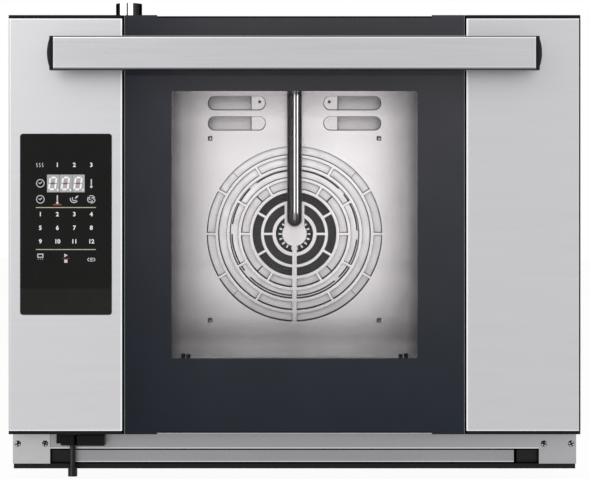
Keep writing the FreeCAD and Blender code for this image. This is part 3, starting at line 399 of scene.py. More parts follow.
def gloss_black():
    """Black plastic with a polished face."""
    colours = bpy.context.scene.oven_colours
    return grained("gloss_black_plastic", colours.plastic_black, 0.2, 6 * MM, (0.16, 0.22),
                   specular_ior_level=0.2)


def screw_steel():
    """Turned and zinc-plated steel: bright, with a soft grain."""
    return grained("bright_screw_steel", linear("#bdbdbf"), 0.08, 1.5 * MM, (0.22, 0.32), metallic=1.0)


def buffed_steel():
    """Bright steel for painted highlights along edges."""
    return grained("painted_highlight_stainless", linear("#f2f2f4"), 0.02, 4 * MM, (0.3, 0.4), metallic=1.0)


def casing_steel():
    """Satin stainless sheet: rolled grain along its length, drawn coarse enough to show."""
    colours = bpy.context.scene.oven_colours
    return grained("satin_casing_stainless", colours.casing_steel, 0.035, 3 * MM, (0.3, 0.4), 0.01 * MM,
                   (1, 0.03, 1), metallic=1.0)


def cavity_steel():
    """Bright annealed stainless of the oven's inside: soft cloudy reflections."""
    colours = bpy.context.scene.oven_colours
    return grained("bright_cavity_stainless", colours.cavity_steel, 0.015, 14 * MM, (0.25, 0.27),
                   metallic=1.0)


def clear_glass():
    """Float glass with a low-reflection coating, faintly smeared by wiping."""
    return grained("coated_float_glass", linear("#f9f9f9"), 0.015, 40 * MM, (0.0, 0.02),
                   transmission_weight=1.0, ior=1.2)


class OVEN_OT_door(bpy.types.Operator):
    """Dress the door's panels, trims, frames and hinges"""
    bl_idname = "oven.door"
    bl_label = "Door panels"

    def execute(self, context):
        colours = context.scene.oven_colours
        low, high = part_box("right_door_panel")
        # Stainless with a fine horizontal brush: lines drawn 2.5 mm apart so that they show.
        panel = grained("brushed_door_stainless", colours.panel_steel, 0.018, 2.5 * MM, (0.34, 0.42),
                        0.006 * MM, BRUSHED, metallic=1.0)
        # Painted highlights along its top and foot, and painted light that makes the left panel a little
        # lighter than the right one.
        toned(panel, "Z", both_ends(low.z, high.z, [(0, 1.6), (1.3, 1.6), (1.6, 1.0)]))
        toned(panel, "X", [(-high.x, 1.05), (-0.5 * low.x, 1.05), (0.5 * low.x, 1.0), (high.x, 0.98)])
        dress(panel, "left_door_panel", "right_door_panel")
        self.add_edge_strip(low, high)
        self.add_edge_beads(low, high)
        dress(shared(door_black), "panel_trims", "control_housing", "display_module")
        # Vitreous enamel on the inner plate: black, glossy, with a faint orange peel.
        enamel = grained("black_vitreous_enamel", linear("#141416"), 0.2, 6 * MM, (0.2, 0.3), 0.02 * MM)
        dress(enamel, "door_back_plate")
        dress(shared(casing_steel), "glass_frame", "hinge_blocks", "hinge_arms", "hinge_housings")
        dress(shared(screw_steel), "inner_glass_clips", "hinge_pins")
        # Fibreglass board with green solder mask: mottled by the copper under it.
        board = grained("green_circuit_board", linear("#1d5c37"), 0.25, 4 * MM, (0.3, 0.45))
        dress(board, "control_board", "power_board")
        # Opal acrylic over a light strip: it glows evenly.
        lamp = grained("opal_lamp_acrylic", linear("#f2f1ea"), 0.02, 9 * MM, (0.3, 0.4),
                       emission_color=opaque(linear("#fff8ec")), emission_strength=3.0)
        dress(lamp, "door_lamp")
        return {"FINISHED"}

    def add_edge_strip(self, low, high):
        """Black strip round the front edge of the door's right side, as painted shade on that edge."""
        bend, film = 2.5 * MM, 0.06 * MM
        bm = bmesh.new()
        # The outline is drawn level, so the plate is turned upright by changing Y and Z over.
        outline = band(high.x - bend, low.y + bend, bend + film, bend, -72, 0)
        prism(bm, outline, low.z + film, high.z - film)
        for vert in bm.verts:
            vert.co.yz = vert.co.zy
        add_piece("edge_shade_strip", bm, "door", "black_plastic", shared(matte_black))

    def add_edge_beads(self, low, high):
        """Painted highlights up the panels' inner edges, as bright steel strips, and black strips of painted
        shade in the gaps between them and the glass.
        """
        glass_low, glass_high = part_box("outer_glass")
        film, bead = 0.05 * MM, 1.4 * MM
        height, glass_height = (low.z, high.z), (glass_low.z, glass_high.z)
        proud, sunk = (low.y - film, low.y + 1.0 * MM), (low.y + 0.5 * MM, low.y + 2.0 * MM)
        bm = bmesh.new()
        # The left shade strip laps over its panel.
        for side, lap in ((-1, 0.55 * MM), (1, 0.0)):
            edge = low.x + lap
            strip(bm, (side * edge, side * (edge + bead)), height, *proud)
            strip(bm, (side * (glass_high.x + film), side * (low.x - film)), glass_height, *sunk, 1)
            if lap:
                strip(bm, (side * low.x, side * (edge - film)), height, *proud, 1)
        add_piece("edge_highlights_and_shade", bm, "door", "stainless_panel", shared(buffed_steel), shared(matte_black))


class OVEN_OT_glass(bpy.types.Operator):
    """Make the door's dark glass border, its clear window and the inner pane's sill"""
    bl_idname = "oven.glass"
    bl_label = "Door glass"

    # The clear window's distances from the glass's edges, and the size of the notches in its foot and top.
    side_margin, foot_margin, top_margin = 49.9 * MM, 79.8 * MM, 79.9 * MM
    notch_inset, notch_foot, notch_top = 34.5 * MM, 1.4 * MM, 1.2 * MM

    def execute(self, context):
        colours = context.scene.oven_colours
        sizes = context.scene.oven_sizes
        low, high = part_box("outer_glass")
        half = high.x - self.side_margin
        sill, lintel = low.z + self.foot_margin, high.z - self.top_margin
        notch = high.x - self.notch_inset
        foot, top = low.z + self.notch_foot, high.z - self.notch_top
        outline = [
            (low.x, low.z), (-notch, low.z), (-notch, foot), (notch, foot), (notch, low.z), (high.x, low.z),
            (high.x, high.z), (notch, high.z), (notch, top), (-notch, top), (-notch, high.z), (low.x, high.z),
        ]
        # Float glass with a dark ceramic print on its back: deep black with a clean reflection.
        border = grained("printed_border_glass", colours.border_glass, 0.08, 60 * MM, (0.04, 0.07), ior=1.5,
                         specular_ior_level=0.15)
        # Painted reflection and shade: the border is tinted bluer and darker towards its left side and its
        # foot.
        blue, dusk, dim = (0.44, 0.48, 0.58), (0.22, 0.32, 0.42), (0.34, 0.42, 0.5)
        tint_end = 90 * MM
        toned(border, "X", [(low.x, blue), (-tint_end, 0.95), (tint_end, 1.0), (high.x, 1.0)])
        toned(border, "Z", [(low.z, dusk), (sill, dim), (lintel, 0.95), (high.z, 1.0)])
        # Ground and polished glass edge: pale and a little green.
        edge = grained("ground_glass_edge", linear("#8f9797"), 0.1, 5 * MM, (0.25, 0.4))
        bm = bmesh.new()
        hole = rounded_box((-half, half), (sill, lintel), sizes.window_corner)
        holed_plate(bm, outline, hole, low.y, high.y)
        sides = [item for item in bm.edges if self.is_front_side(item, low, high)]
        ground = bmesh.ops.bevel(bm, geom=sides, offset=sizes.glass_edge, segments=1, affect="EDGES")
        for face in ground["faces"]:
            face.material_index = 1
        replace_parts(add_piece("glass_border", bm, "door", "dark_glass", border, edge), "outer_glass")
        bm = bmesh.new()
        gap, sink = 0.02 * MM, 0.05 * MM
        pane = half - gap
        strip(bm, (-pane, pane), (sill + gap, lintel - gap), low.y + sink, high.y, 0, sizes.window_corner)
        # The same glass, tinted darker towards its two sides as painted shade.
        side_shaded = toned(clear_glass(), "X", both_ends(-pane, pane, [(0, 0.6), (11, 1.0)]), "side_shaded_glass")
        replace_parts(add_piece("window_pane", bm, "door", "clear_glass", side_shaded), "outer_glass")
        dress(shared(clear_glass), "inner_glass")
        self.add_notch_seals(notch, foot, top, low.y)
        self.add_sill(half, sill)
        return {"FINISHED"}

    def is_front_side(self, edge, low, high):
        """True for the upright front edges at the glass's two sides."""
        first, second = [vert.co for vert in edge.verts]
        at_side = abs(abs(first.x) - high.x) < 1e-5 and abs(first.x - second.x) < 1e-6
        return at_side and max(first.y, second.y) < low.y + 1e-5

    def add_notch_seals(self, half, foot, top, face):
        """Thin black strips of painted shade along the two notched edges of the glass."""
        film = 0.05 * MM
        bm = bmesh.new()
        for height in ((foot, foot + 1.3 * MM), (top - 1.6 * MM, top)):
            strip(bm, (-half, half), height, face - film, face)
        add_piece("notch_shade_strips", bm, "door", "black_plastic", shared(matte_black))

    def add_sill(self, half, sill):
        """Steel strip with black ends that keeps the inner pane's lower edge in place."""
        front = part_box("inner_glass")[0].y
        low, high = sill - 6 * MM, sill - 0.5 * MM
        end, hook = half - 11 * MM, 4.6 * MM
        bm = bmesh.new()
        strip(bm, (-end, end), (low, high), front - 1 * MM, front, 0, 0.5 * MM)
        # Two hooks at each end, by their distance from the window's side and their height above the strip.
        for inset, height in ((17.8 * MM, 3.0 * MM), (12.4 * MM, 3.6 * MM)):
            for side in (-1, 1):
                x = (side * (half - inset), side * (half - inset + hook))
                strip(bm, x, (low, high + height), front - 2 * MM, front, 1, 0.8 * MM)
        add_piece("glass_sill", bm, "door", "casing_steel", shared(casing_steel), shared(matte_black))


class OVEN_OT_handle(bpy.types.Operator):
    """Dress the door's handle"""
    bl_idname = "oven.handle"
    bl_label = "Handle"

    # Tones of the bar and the caps by their distance in millimetres from an edge: painted shade and painted
    # highlights.
    foot = ((0, 0.04), (0.9, 0.12), (2.5, 0.6), (2.8, 1.15), (4.1, 1.0))
    top = ((-2.8, 1.0), (-2.5, 1.5), (-1.6, 1.5), (-1.45, 0.1), (-0.5, 0.1), (-0.4, 0.45), (0, 0.45))
    end = ((0, 1.25), (1.3, 1.25), (1.6, 1.0))
    dome = ((0, 7.0), (3.4, 2.0), (3.7, 0.4), (6.4, 0.4))

    def execute(self, context):
        colours = context.scene.oven_colours
        # Satin stainless face, brushed along its length, with painted shade along its top and foot edges and
        # painted highlights beside them and at its two ends.
        satin = grained("satin_handle_stainless", colours.handle_steel, 0.02, 2 * MM, (0.26, 0.34),
                        0.004 * MM, BRUSHED, metallic=1.0)
        low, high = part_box("handle_bar")
        toned(satin, "Z", stops_from(low.z, self.foot) + stops_from(high.z, self.top))
        toned(satin, "X", both_ends(low.x, high.x, self.end))
        dress(satin, "handle_bar")
        dress(shared(casing_steel), "handle_posts")
        # Polished black plastic on the end caps, with a painted grey highlight on their domes and painted
        # shade next to the bar.
        low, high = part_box("handle_caps")
        dome_highlit = toned(gloss_black(), "X", both_ends(low.x, high.x, self.dome), "highlit_cap_plastic")
        dress(dome_highlit, "handle_caps")
        return {"FINISHED"}


class OVEN_OT_control_panel(bpy.types.Operator):
    """Make the display, marks and keys of the control panel"""
    bl_idname = "oven.control_panel"
    bl_label = "Control panel"

    # Heights of the rows of marks, the gold lines and the display, in millimetres from the panel's middle.
    preset_row, display_row, symbol_row, key_row, start_row = 62.1, 43.0, 26.2, 10.4, -35.6
    lines, line_half = (17.6, -26.4), 31.4
    display_low, display_high, display_width = 33.6, 52.1, 39.7

    def execute(self, context):
        colours = context.scene.oven_colours
        self.sizes = context.scene.oven_sizes
        low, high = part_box("control_glass")
        self.centre = (low + high) / 2
        self.face = low.y
        pitch = self.sizes.column_pitch / MM
        self.columns = [(index - 1.5) * pitch for index in range(4)]
        # Back-printed control glass: black with a finely etched face, a shade lighter in its low band.
        glass = grained("etched_control_glass", colours.control_black, 0.1, 25 * MM, (0.22, 0.3), ior=1.5,
                        specular_ior_level=0.1)
        toned(glass, "Z", stops_from(low.z, [(0, 2.2), (27, 2.0), (28, 1.0)]) + [(high.z, 1.0)])
        dress(glass, "control_glass")
        # Screen-printed white enamel ink, which is thinner on the symbols.
        white = grained("white_panel_ink", colours.print_white, 0.05, 2 * MM, (0.5, 0.6))
        thin = grained("thin_panel_ink", shifted(colours.print_white, 0.7), 0.05, 2 * MM, (0.5, 0.6))
        # Screen-printed gold ink.
        gold = grained("gold_panel_ink", colours.print_gold, 0.1, 2 * MM, (0.4, 0.5))
        # Red indicator window, lit from behind.
        red = grained("red_indicator", linear("#8c3a38"), 0.1, 2 * MM, (0.3, 0.4),
                      emission_color=opaque(linear("#a04a48")), emission_strength=0.25)
        # Display filter: pale grey reflector face.
        reflector = grained("grey_display_face", linear("#b4b4b6"), 0.06, 1.5 * MM, (0.4, 0.5))
        # Segment windows: milky white where they are lit, and dull red where they are off.
        lit = grained("white_segment", linear("#f0eeee"), 0.03, 2 * MM, (0.4, 0.5),
                      emission_color=opaque(linear("#f4f0f0")), emission_strength=0.25)
        off = grained("red_segment", linear("#84505a"), 0.1, 2 * MM, (0.4, 0.5))
        self.add_icons(thin, red)
        self.add_numbers(white)
        self.add_lines(gold)
        self.add_display(reflector, lit, off)
        return {"FINISHED"}

    def placed(self, outline):
        """Points on the panel, from millimetres from its middle."""
        return [(self.centre.x + x * MM, self.centre.z + z * MM) for x, z in outline]

    def stroke(self, bm, outline, slot=0, rise=1.0):
        """Adds a printed shape, given in millimetres from the panel's middle."""
        prism(bm, self.placed(outline), self.face - rise * self.sizes.print_height, self.face, slot)

    def frame(self, bm, outline, hole):
        """Adds a printed shape with a hole, both given in millimetres from the panel's middle."""
        front = self.face - self.sizes.print_height
        holed_plate(bm, self.placed(outline), self.placed(hole), front, self.face)

    def add_icons(self, ink, red):
        """The symbols above, between and below the keys, and two red lines."""
        first, second, third, last = self.columns
        bm = bmesh.new()
        self.clock(bm, first, self.display_row)
        self.thermometer(bm, last, self.display_row)
        self.clock(bm, first, self.symbol_row)
        self.thermometer(bm, second, self.symbol_row)
        self.steam(bm, third, self.symbol_row)
        self.fan(bm, last, self.symbol_row)
        self.door_and_lamp(bm, first, self.start_row + 2.0)
        self.start_and_stop(bm, 0.0, self.start_row)
        self.trays(bm, last, self.start_row - 1.4)
        self.preheat(bm, first, self.preset_row)
        self.stroke(bm, level(second, self.symbol_row - 5.6, 4.3, 1.1), 1)
        self.stroke(bm, level(0.0, self.start_row, 4.5, 0.35), 1)
        add_piece("panel_icons", bm, "door", "control_glass", ink, red)

    def clock(self, bm, x, z):
        self.frame(bm, circle(x, z, 4.4), circle(x, z, 3.6))
        self.stroke(bm, bar(x - 1.8, z + 0.6, x, z - 0.6, 0.9))
        self.stroke(bm, bar(x - 0.3, z - 0.6, x + 1.7, z + 1.7, 0.9))

    def thermometer(self, bm, x, z):
        self.stroke(bm, rounded_box((x - 0.65, x + 0.65), (z - 2.0, z + 4.4), 0.6))
        self.stroke(bm, circle(x, z - 3.6, 1.35))

    def steam(self, bm, x, z):
        self.stroke(bm, band(x - 0.3, z + 0.4, 4.3, 3.4, 165, 330))
        self.stroke(bm, band(x + 0.3, z + 0.9, 2.8, 2.0, 150, 320))
        self.stroke(bm, [(x + 0.2, z + 0.6), (x + 3.0, z + 1.6), (x + 4.4, z + 4.2), (x + 1.8, z + 3.2)])

    def fan(self, bm, x, z):
        for start in (20, 140, 260):
            self.stroke(bm, band(x, z, 4.3, 3.5, start, start + 100))
            blade = arc(x, z, 1.6, start, start)[0]
            self.stroke(bm, band(*blade, 1.7, 0.8, start - 60, start + 150))

    def door_and_lamp(self, bm, x, z):
        self.frame(bm, rounded_box((x - 3.2, x + 3.2), (z - 1.3, z + 2.9), 0.3),
                   rounded_box((x - 2.2, x + 2.2), (z - 0.5, z + 1.9), 0.1))
        for offset in (-2.2, 0, 2.2):
            self.stroke(bm, bar(x + offset, z - 2.2, x + offset, z - 3.4, 0.5), rise=0.6)

    def start_and_stop(self, bm, x, z):
        self.stroke(bm, [(x - 1.6, z + 1.2), (x + 2.2, z + 3.1), (x - 1.6, z + 5.0)])
        self.stroke(bm, rounded_box((x - 1.7, x + 1.7), (z - 4.7, z - 1.3), 0.3))

    def trays(self, bm, x, z):
        for side, start in ((-1, 90), (1, -90)):
            self.stroke(bm, band(x + side * 2.2, z, 1.9, 1.1, start, start + 180))
        for offset in (-1.5, 0.0, 1.5):
            self.stroke(bm, level(x, z + offset, 1.6, 0.7))

    def preheat(self, bm, x, z):
        for offset in (-3.0, 0.0, 3.0):
            self.stroke(bm, band(x + offset, z + 1.0, 1.4, 0.7, 100, 260))
            self.stroke(bm, band(x + offset - 1.2, z - 1.0, 1.4, 0.7, -80, 80))

    def add_numbers(self, white):
        """The numbers of the presets and of the three rows of keys."""
        height, rise = self.sizes.number_height, self.sizes.print_height
        marks = [(index, self.columns[index], self.preset_row) for index in (1, 2, 3)]
        for index in range(12):
            row, column = divmod(index, 4)
            marks.append((index + 1, self.columns[column], self.key_row - row * self.sizes.row_pitch / MM))
        bm = bmesh.new()
        for number, x, z in marks:
            curve = bpy.data.curves.new("number", "FONT")
            curve.body = str(number)
            curve.align_x = "CENTER"
            curve.align_y = "CENTER"
            curve.size = height
            curve.offset = 0.03 * height
            curve.extrude = rise / 2
            curve.resolution_u = 3
            mesh = plain_mesh(link_object("number", curve))
            where_x, where_z = self.placed([(x, z)])[0]
            where = Matrix.Translation((where_x, self.face - rise / 2, where_z))
            mesh.transform(where @ Matrix.Rotation(math.pi / 2, 4, "X"))
            bm.from_mesh(mesh)
            bpy.data.meshes.remove(mesh)
            bpy.data.curves.remove(curve)
        add_piece("panel_numbers", bm, "door", "control_glass", white)

    def add_lines(self, gold):
        """The two lines across the panel."""
        bm = bmesh.new()
        for z in self.lines:
            self.stroke(bm, level(0.0, z, self.line_half, 0.8))
        add_piece("panel_lines", bm, "door", "control_glass", gold)

    def add_display(self, reflector, lit, off):
        """Three cells of the display, each with a digit and its point."""
        low, high, width = self.display_low, self.display_high, self.display_width / 3
        gap, lit_rise = 0.15, 1.8
        bm = bmesh.new()
        for cell in range(3):
            left = (cell - 1.5) * width
            self.stroke(bm, rounded_box((left + gap, left + width - gap), (low, high), 0.3))
            self.digit(bm, left + width / 2 - 0.5, (low + high) / 2, lit_rise)
            self.stroke(bm, circle(left + width - 2.0, low + 2.6, 0.9), 1, lit_rise)
        add_piece("display_digits", bm, "door", "control_glass", reflector, lit, off)

    def digit(self, bm, x, z, lit_rise):
        """A leaning seven-segment nought, with its middle segment off."""
        half_width, half_height, width, lean, off_rise = 3.2, 6.2, 1.8, 0.14, 1.5
        across = half_width - 1.1
        segments = [(level(0, 0, across, width), 2, off_rise)]
        for side in (-1, 1):
            segments.append((level(0, side * half_height, across, width), 1, lit_rise))
            for upper in (-1, 1):
                ends = (side * half_width, upper * 0.7, side * half_width, upper * (half_height - 0.6))
                segments.append((bar(*ends, width), 1, lit_rise))
        for outline, slot, rise in segments:
            self.stroke(bm, [(x + px + lean * pz, z + pz) for px, pz in outline], slot, rise)


class OVEN_OT_base(bpy.types.Operator):
    """Dress the base, the drip tray and the door's drain"""
    bl_idname = "oven.base"
    bl_label = "Base"

    def execute(self, context):
        colours = context.scene.oven_colours
        # Cold-rolled stainless strip, duller than the brackets: smeary and soft, with a painted highlight
        # along its foot.
        tray = grained("dull_rail_stainless", colours.rail_steel, 0.05, 30 * MM, (0.32, 0.45), 0.0, ROLLED,
                       metallic=1.0)
        low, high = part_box("drip_tray")
        toned(tray, "Z", stops_from(low.z, [(0, 1.8), (0.9, 1.8), (1.2, 0.92)]) + [(high.z, 0.92)])
        dress(tray, "drip_tray")
        # Stainless sheet with a mill finish.
        bracket = grained("bracket_stainless", colours.bracket_steel, 0.03, 8 * MM, (0.3, 0.4), metallic=1.0)
        dress(bracket, "left_bracket")
        # Cold-rolled stainless, lighter where the rail becomes the right bracket.
        rail = grained("rail_stainless", colours.rail_steel, 0.04, 20 * MM, (0.3, 0.42), 0.0, ROLLED,
                       metallic=1.0)
        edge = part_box("left_bracket")[1].x
        toned(rail, "X", [(edge, 1.0), (-0.5 * edge, 1.0)] + stops_from(-edge, [(20, 1.2), (40, 1.2)]))
        dress(rail, "front_rail")
        self.add_rail_hem(edge)
        # Powder-coated steel: semi-gloss black with a fine orange peel.
        paint = grained("black_powder_coat", colours.base_black, 0.15, 2 * MM, (0.4, 0.5), 0.03 * MM,
                        specular_ior_level=0.2)
        dress(paint, "base_tray", "tray_guides")
        # Moulded rubber: matte and slightly dusty.
        rubber = grained("moulded_rubber", linear("#161616"), 0.3, 3 * MM, (0.75, 0.9), 0.05 * MM)
        dress(rubber, "feet", "door_gasket")
        dress(shared(door_black), "drain_cup", "drain_fitting")
        # Polished black plastic on the spout, with a painted highlight down it.
        low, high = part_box("drain_spout")
        stripe = stops_from((low.x + high.x) / 2, [(-2.2, 1.0), (-1.8, 22.0), (-0.2, 16.0), (0.2, 1.0)])
        highlighted = toned(gloss_black(), "X", [(low.x, 1.0), *stripe, (high.x, 1.0)], "highlight_black_plastic")
        dress(highlighted, "drain_spout")
        return {"FINISHED"}

    def add_rail_hem(self, edge):
        """Painted highlights along the rail's long edges, as bright steel strips, and a black strip of
        painted shade in the gap below the lower one.
        """
        front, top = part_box("front_rail")[0].y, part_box("front_rail")[1].z
        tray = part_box("drip_tray")[1].z
        foot, highlight_band = tray + 1.7 * MM, 0.7 * MM
        length = (edge, -edge)
        bm = bmesh.new()
        for low in (foot, top - highlight_band):
            strip(bm, length, (low, low + highlight_band), front - FILM, front)
        strip(bm, length, (tray + 0.2 * MM, foot - 0.05 * MM), front - FILM, front + 1 * MM, 1)
        add_piece("rail_highlights_and_shade", bm, "chassis", "rail_steel", shared(buffed_steel), shared(matte_black))


class OVEN_OT_screws(bpy.types.Operator):
    """Make the cross-headed screws of the brackets and the rear cover"""
    bl_idname = "oven.screws"
    bl_label = "Screws"

    # Each group of screws: its node, the way its heads point along Y, and the length of its CAD shanks.
    groups = (("bracket_screws", -1, 1.5 * MM), ("rear_screws", 1, 1.0 * MM))
    head_radius, head_height = 3.35 * MM, 2.0 * MM
    shank_radius, shank_length = 2.0 * MM, 1.0 * MM

    def execute(self, context):
        sizes = context.scene.oven_sizes
        tree = self.screw_tree()
        for node, toward, depth in self.groups:
            low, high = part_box(node)
            seat = high.y - depth if toward < 0 else low.y + depth
            # Plated steel, with painted shade darkening the bottom of the recess.
            height = toward * self.head_height
            recess_shade = [(seat, 0.04), (seat + 0.53 * height, 0.04), (seat + 0.56 * height, 1.0),
                      (seat + height, 1.0)]
            steel = toned(screw_steel(), "Y", recess_shade[::toward], "recess_shaded_" + node)
            name = "cross_" + node
            mesh = instanced(name, self.screw_places(node, seat), tree, {
                "Head Radius": self.head_radius, "Head Height": self.head_height,
                "Shank Radius": self.shank_radius, "Shank Length": self.shank_length,
                "Recess Length": sizes.recess_length, "Recess Width": sizes.recess_width,
                "Toward": -toward * math.pi / 2, "Material": steel})
            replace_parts(add_piece(name, mesh, "chassis", "screw_steel"), node)
        return {"FINISHED"}

    def screw_places(self, node, seat):
        """A point at each screw's seat, found from the CAD solids."""
        copy = bmesh.new()
        copy.from_mesh(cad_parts[node].data)
        bmesh.ops.remove_doubles(copy, verts=copy.verts, dist=1e-6)
        points = []
        # A dict keeps its order, so that a screw gets the same random turn in every run.
        left = dict.fromkeys(copy.verts)
        while left:
            reached = [left.popitem()[0]]
            for vert in reached:
                for edge in vert.link_edges:
                    other = edge.other_vert(vert)
                    if other in left:
                        del left[other]
                        reached.append(other)
            xs = [vert.co.x for vert in reached]
            zs = [vert.co.z for vert in reached]
            points.append(((min(xs) + max(xs)) / 2, seat, (min(zs) + max(zs)) / 2))
        copy.free()
        return points

    def screw_tree(self):
        """Node tree that sets a screw on each point: domed head, cross recess and shank."""
        tree, given = new_tree("cross_headed_screws", "Head Radius", "Head Height", "Shank Radius",
                               "Shank Length", "Recess Length", "Recess Width", "Toward")
        scale = add_node(tree, "ShaderNodeCombineXYZ", inputs={
            "X": given["Head Radius"], "Y": given["Head Radius"], "Z": given["Head Height"]})
        ball = add_node(tree, "GeometryNodeMeshUVSphere", inputs={"Segments": 32, "Rings": 16, "Radius": 1.0})
        dome = add_node(tree, "GeometryNodeTransform", inputs={"Geometry": ball, "Scale": scale})
        # Two bars cut the cross, and a block cuts the lower half away.
        cutters = []
        for x, y, z, factor, way in (
                ("Recess Length", "Recess Width", "Head Height", 1.0, 1.0),
                ("Recess Width", "Recess Length", "Head Height", 1.0, 1.0),
                ("Head Radius", "Head Radius", "Head Radius", 2.0, -1.0)):
            size = add_node(
                tree, "ShaderNodeCombineXYZ", inputs={"X": given[x], "Y": given[y], "Z": given[z]})
            grown = add_node(tree, "ShaderNodeVectorMath", {"operation": "SCALE"}, {0: size, "Scale": factor})
            block = add_node(tree, "GeometryNodeMeshCube", inputs={"Size": grown})
            move = add_node(tree, "ShaderNodeVectorMath", {"operation": "SCALE"},
                            {0: (0.0, 0.0, way), "Scale": given[z]})
            cutters.append(add_node(
                tree, "GeometryNodeTransform", inputs={"Geometry": block, "Translation": move}))
        head = add_node(tree, "GeometryNodeMeshBoolean", {"operation": "DIFFERENCE", "solver": "EXACT"},
                        {"Mesh 1": dome, "Mesh 2": cutters})
        shank = add_node(tree, "GeometryNodeMeshCylinder", inputs={
            "Vertices": 20, "Radius": given["Shank Radius"], "Depth": given["Shank Length"]})
        sink = add_node(tree, "ShaderNodeVectorMath", {"operation": "SCALE"},
                        {0: (0.0, 0.0, -0.5), "Scale": given["Shank Length"]})
        sunk = add_node(tree, "GeometryNodeTransform", inputs={"Geometry": shank, "Translation": sink})
        whole = add_node(tree, "GeometryNodeJoinGeometry", inputs={"Geometry": [head, sunk]})
        turn = add_node(tree, "FunctionNodeRandomValue", {"data_type": "FLOAT"},
                        {"Max": math.pi / 2, "Seed": 4})
        random_turn = next(item for item in turn.outputs if item.enabled)
        rotation = add_node(tree, "ShaderNodeCombineXYZ", inputs={"X": given["Toward"], "Y": random_turn})
        return end_tree(tree, given, add_node(tree, "GeometryNodeInstanceOnPoints", inputs={
            "Points": given["Geometry"], "Instance": whole, "Rotation": rotation}))


class OVEN_OT_cavity(bpy.types.Operator):
    """Dress the cavity, the fan and its guard, the racks and the humidity pipe"""
    bl_idname = "oven.cavity"
    bl_label = "Cavity"

    # Tones of the guard by the height above its foot and by the distance from its middle, in millimetres:
    # painted light and shade.
    guard_heights = ((-3, 1.7), (26, 1.7), (38, 1.2), (50, 1.25), (64, 1.45), (95, 1.25), (125, 0.95),
                     (180, 0.95), (240, 1.05), (280, 1.08), (300, 1.2), (330, 0.85), (344, 0.85))
    guard_widths = ((-237, 1.0), (-110, 1.0), (-50, 0.93), (0, 0.83), (50, 1.0), (110, 1.12), (237, 1.1))

    def execute(self, context):
        dress(shared(cavity_steel), "cavity_liner", "vent_plate", "left_tray_rack", "right_tray_rack")
        # The same stainless on the guard, with painted light and shade: brighter low down, darker about the
        # fan's middle.
        low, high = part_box("fan_guard")
        guard = toned(cavity_steel(), "Z", stops_from(low.z, self.guard_heights), "light_painted_guard_stainless")
        toned(guard, "X", stops_from((low.x + high.x) / 2, self.guard_widths))
        dress(guard, "fan_guard")
        # The same stainless on the front frame, with painted shade blackening its foot beside the drip tray.
        low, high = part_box("front_frame")
        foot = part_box("front_rail")[1].z
        paint = [(low.z, 0.04), (foot, 0.04), (foot + 1 * MM, 1.0), (high.z, 1.0)]
        dress(toned(cavity_steel(), "Z", paint, "shaded_foot_stainless"), "front_frame")
        dress(shared(screw_steel), "rack_studs", "motor_shaft", "cavity_probe")
        # Drawn stainless tube, polished, its colour darkened as a painted dark reflection: it mirrors only
        # strong lights.
        pipe = grained("darkened_pipe_stainless", linear("#5c5a5b"), 0.03, 6 * MM, (0.04, 0.06), 0.0, DRAWN,
                       metallic=1.0)
        dress(pipe, "humidity_pipe")
        # Pressed aluminium wheel: bright front ring, with painted shade darkening it behind the ring, between
        # the blades.
        low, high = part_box("fan_wheel")
        wheel = grained("pressed_fan_aluminium", linear("#d4d1d2"), 0.04, 10 * MM, (0.3, 0.42), metallic=1.0)
        toned(wheel, "Y", stops_from(low.y, [(0, 1.0), (2, 1.0), (4, 0.07)]) + [(high.y, 0.05)])
        dress(wheel, "fan_wheel")
        # Turned brass nut.
        brass = grained("turned_brass", linear("#b3965a"), 0.06, 2 * MM, (0.25, 0.35), metallic=1.0)
        dress(brass, "shaft_nut")
        # Sheathed heating tube: steel darkened and blued by heat.
        sheath = grained("heat_darkened_steel", linear("#5a5250"), 0.25, 12 * MM, (0.35, 0.5), metallic=1.0)
        dress(sheath, "heating_element")
        return {"FINISHED"}


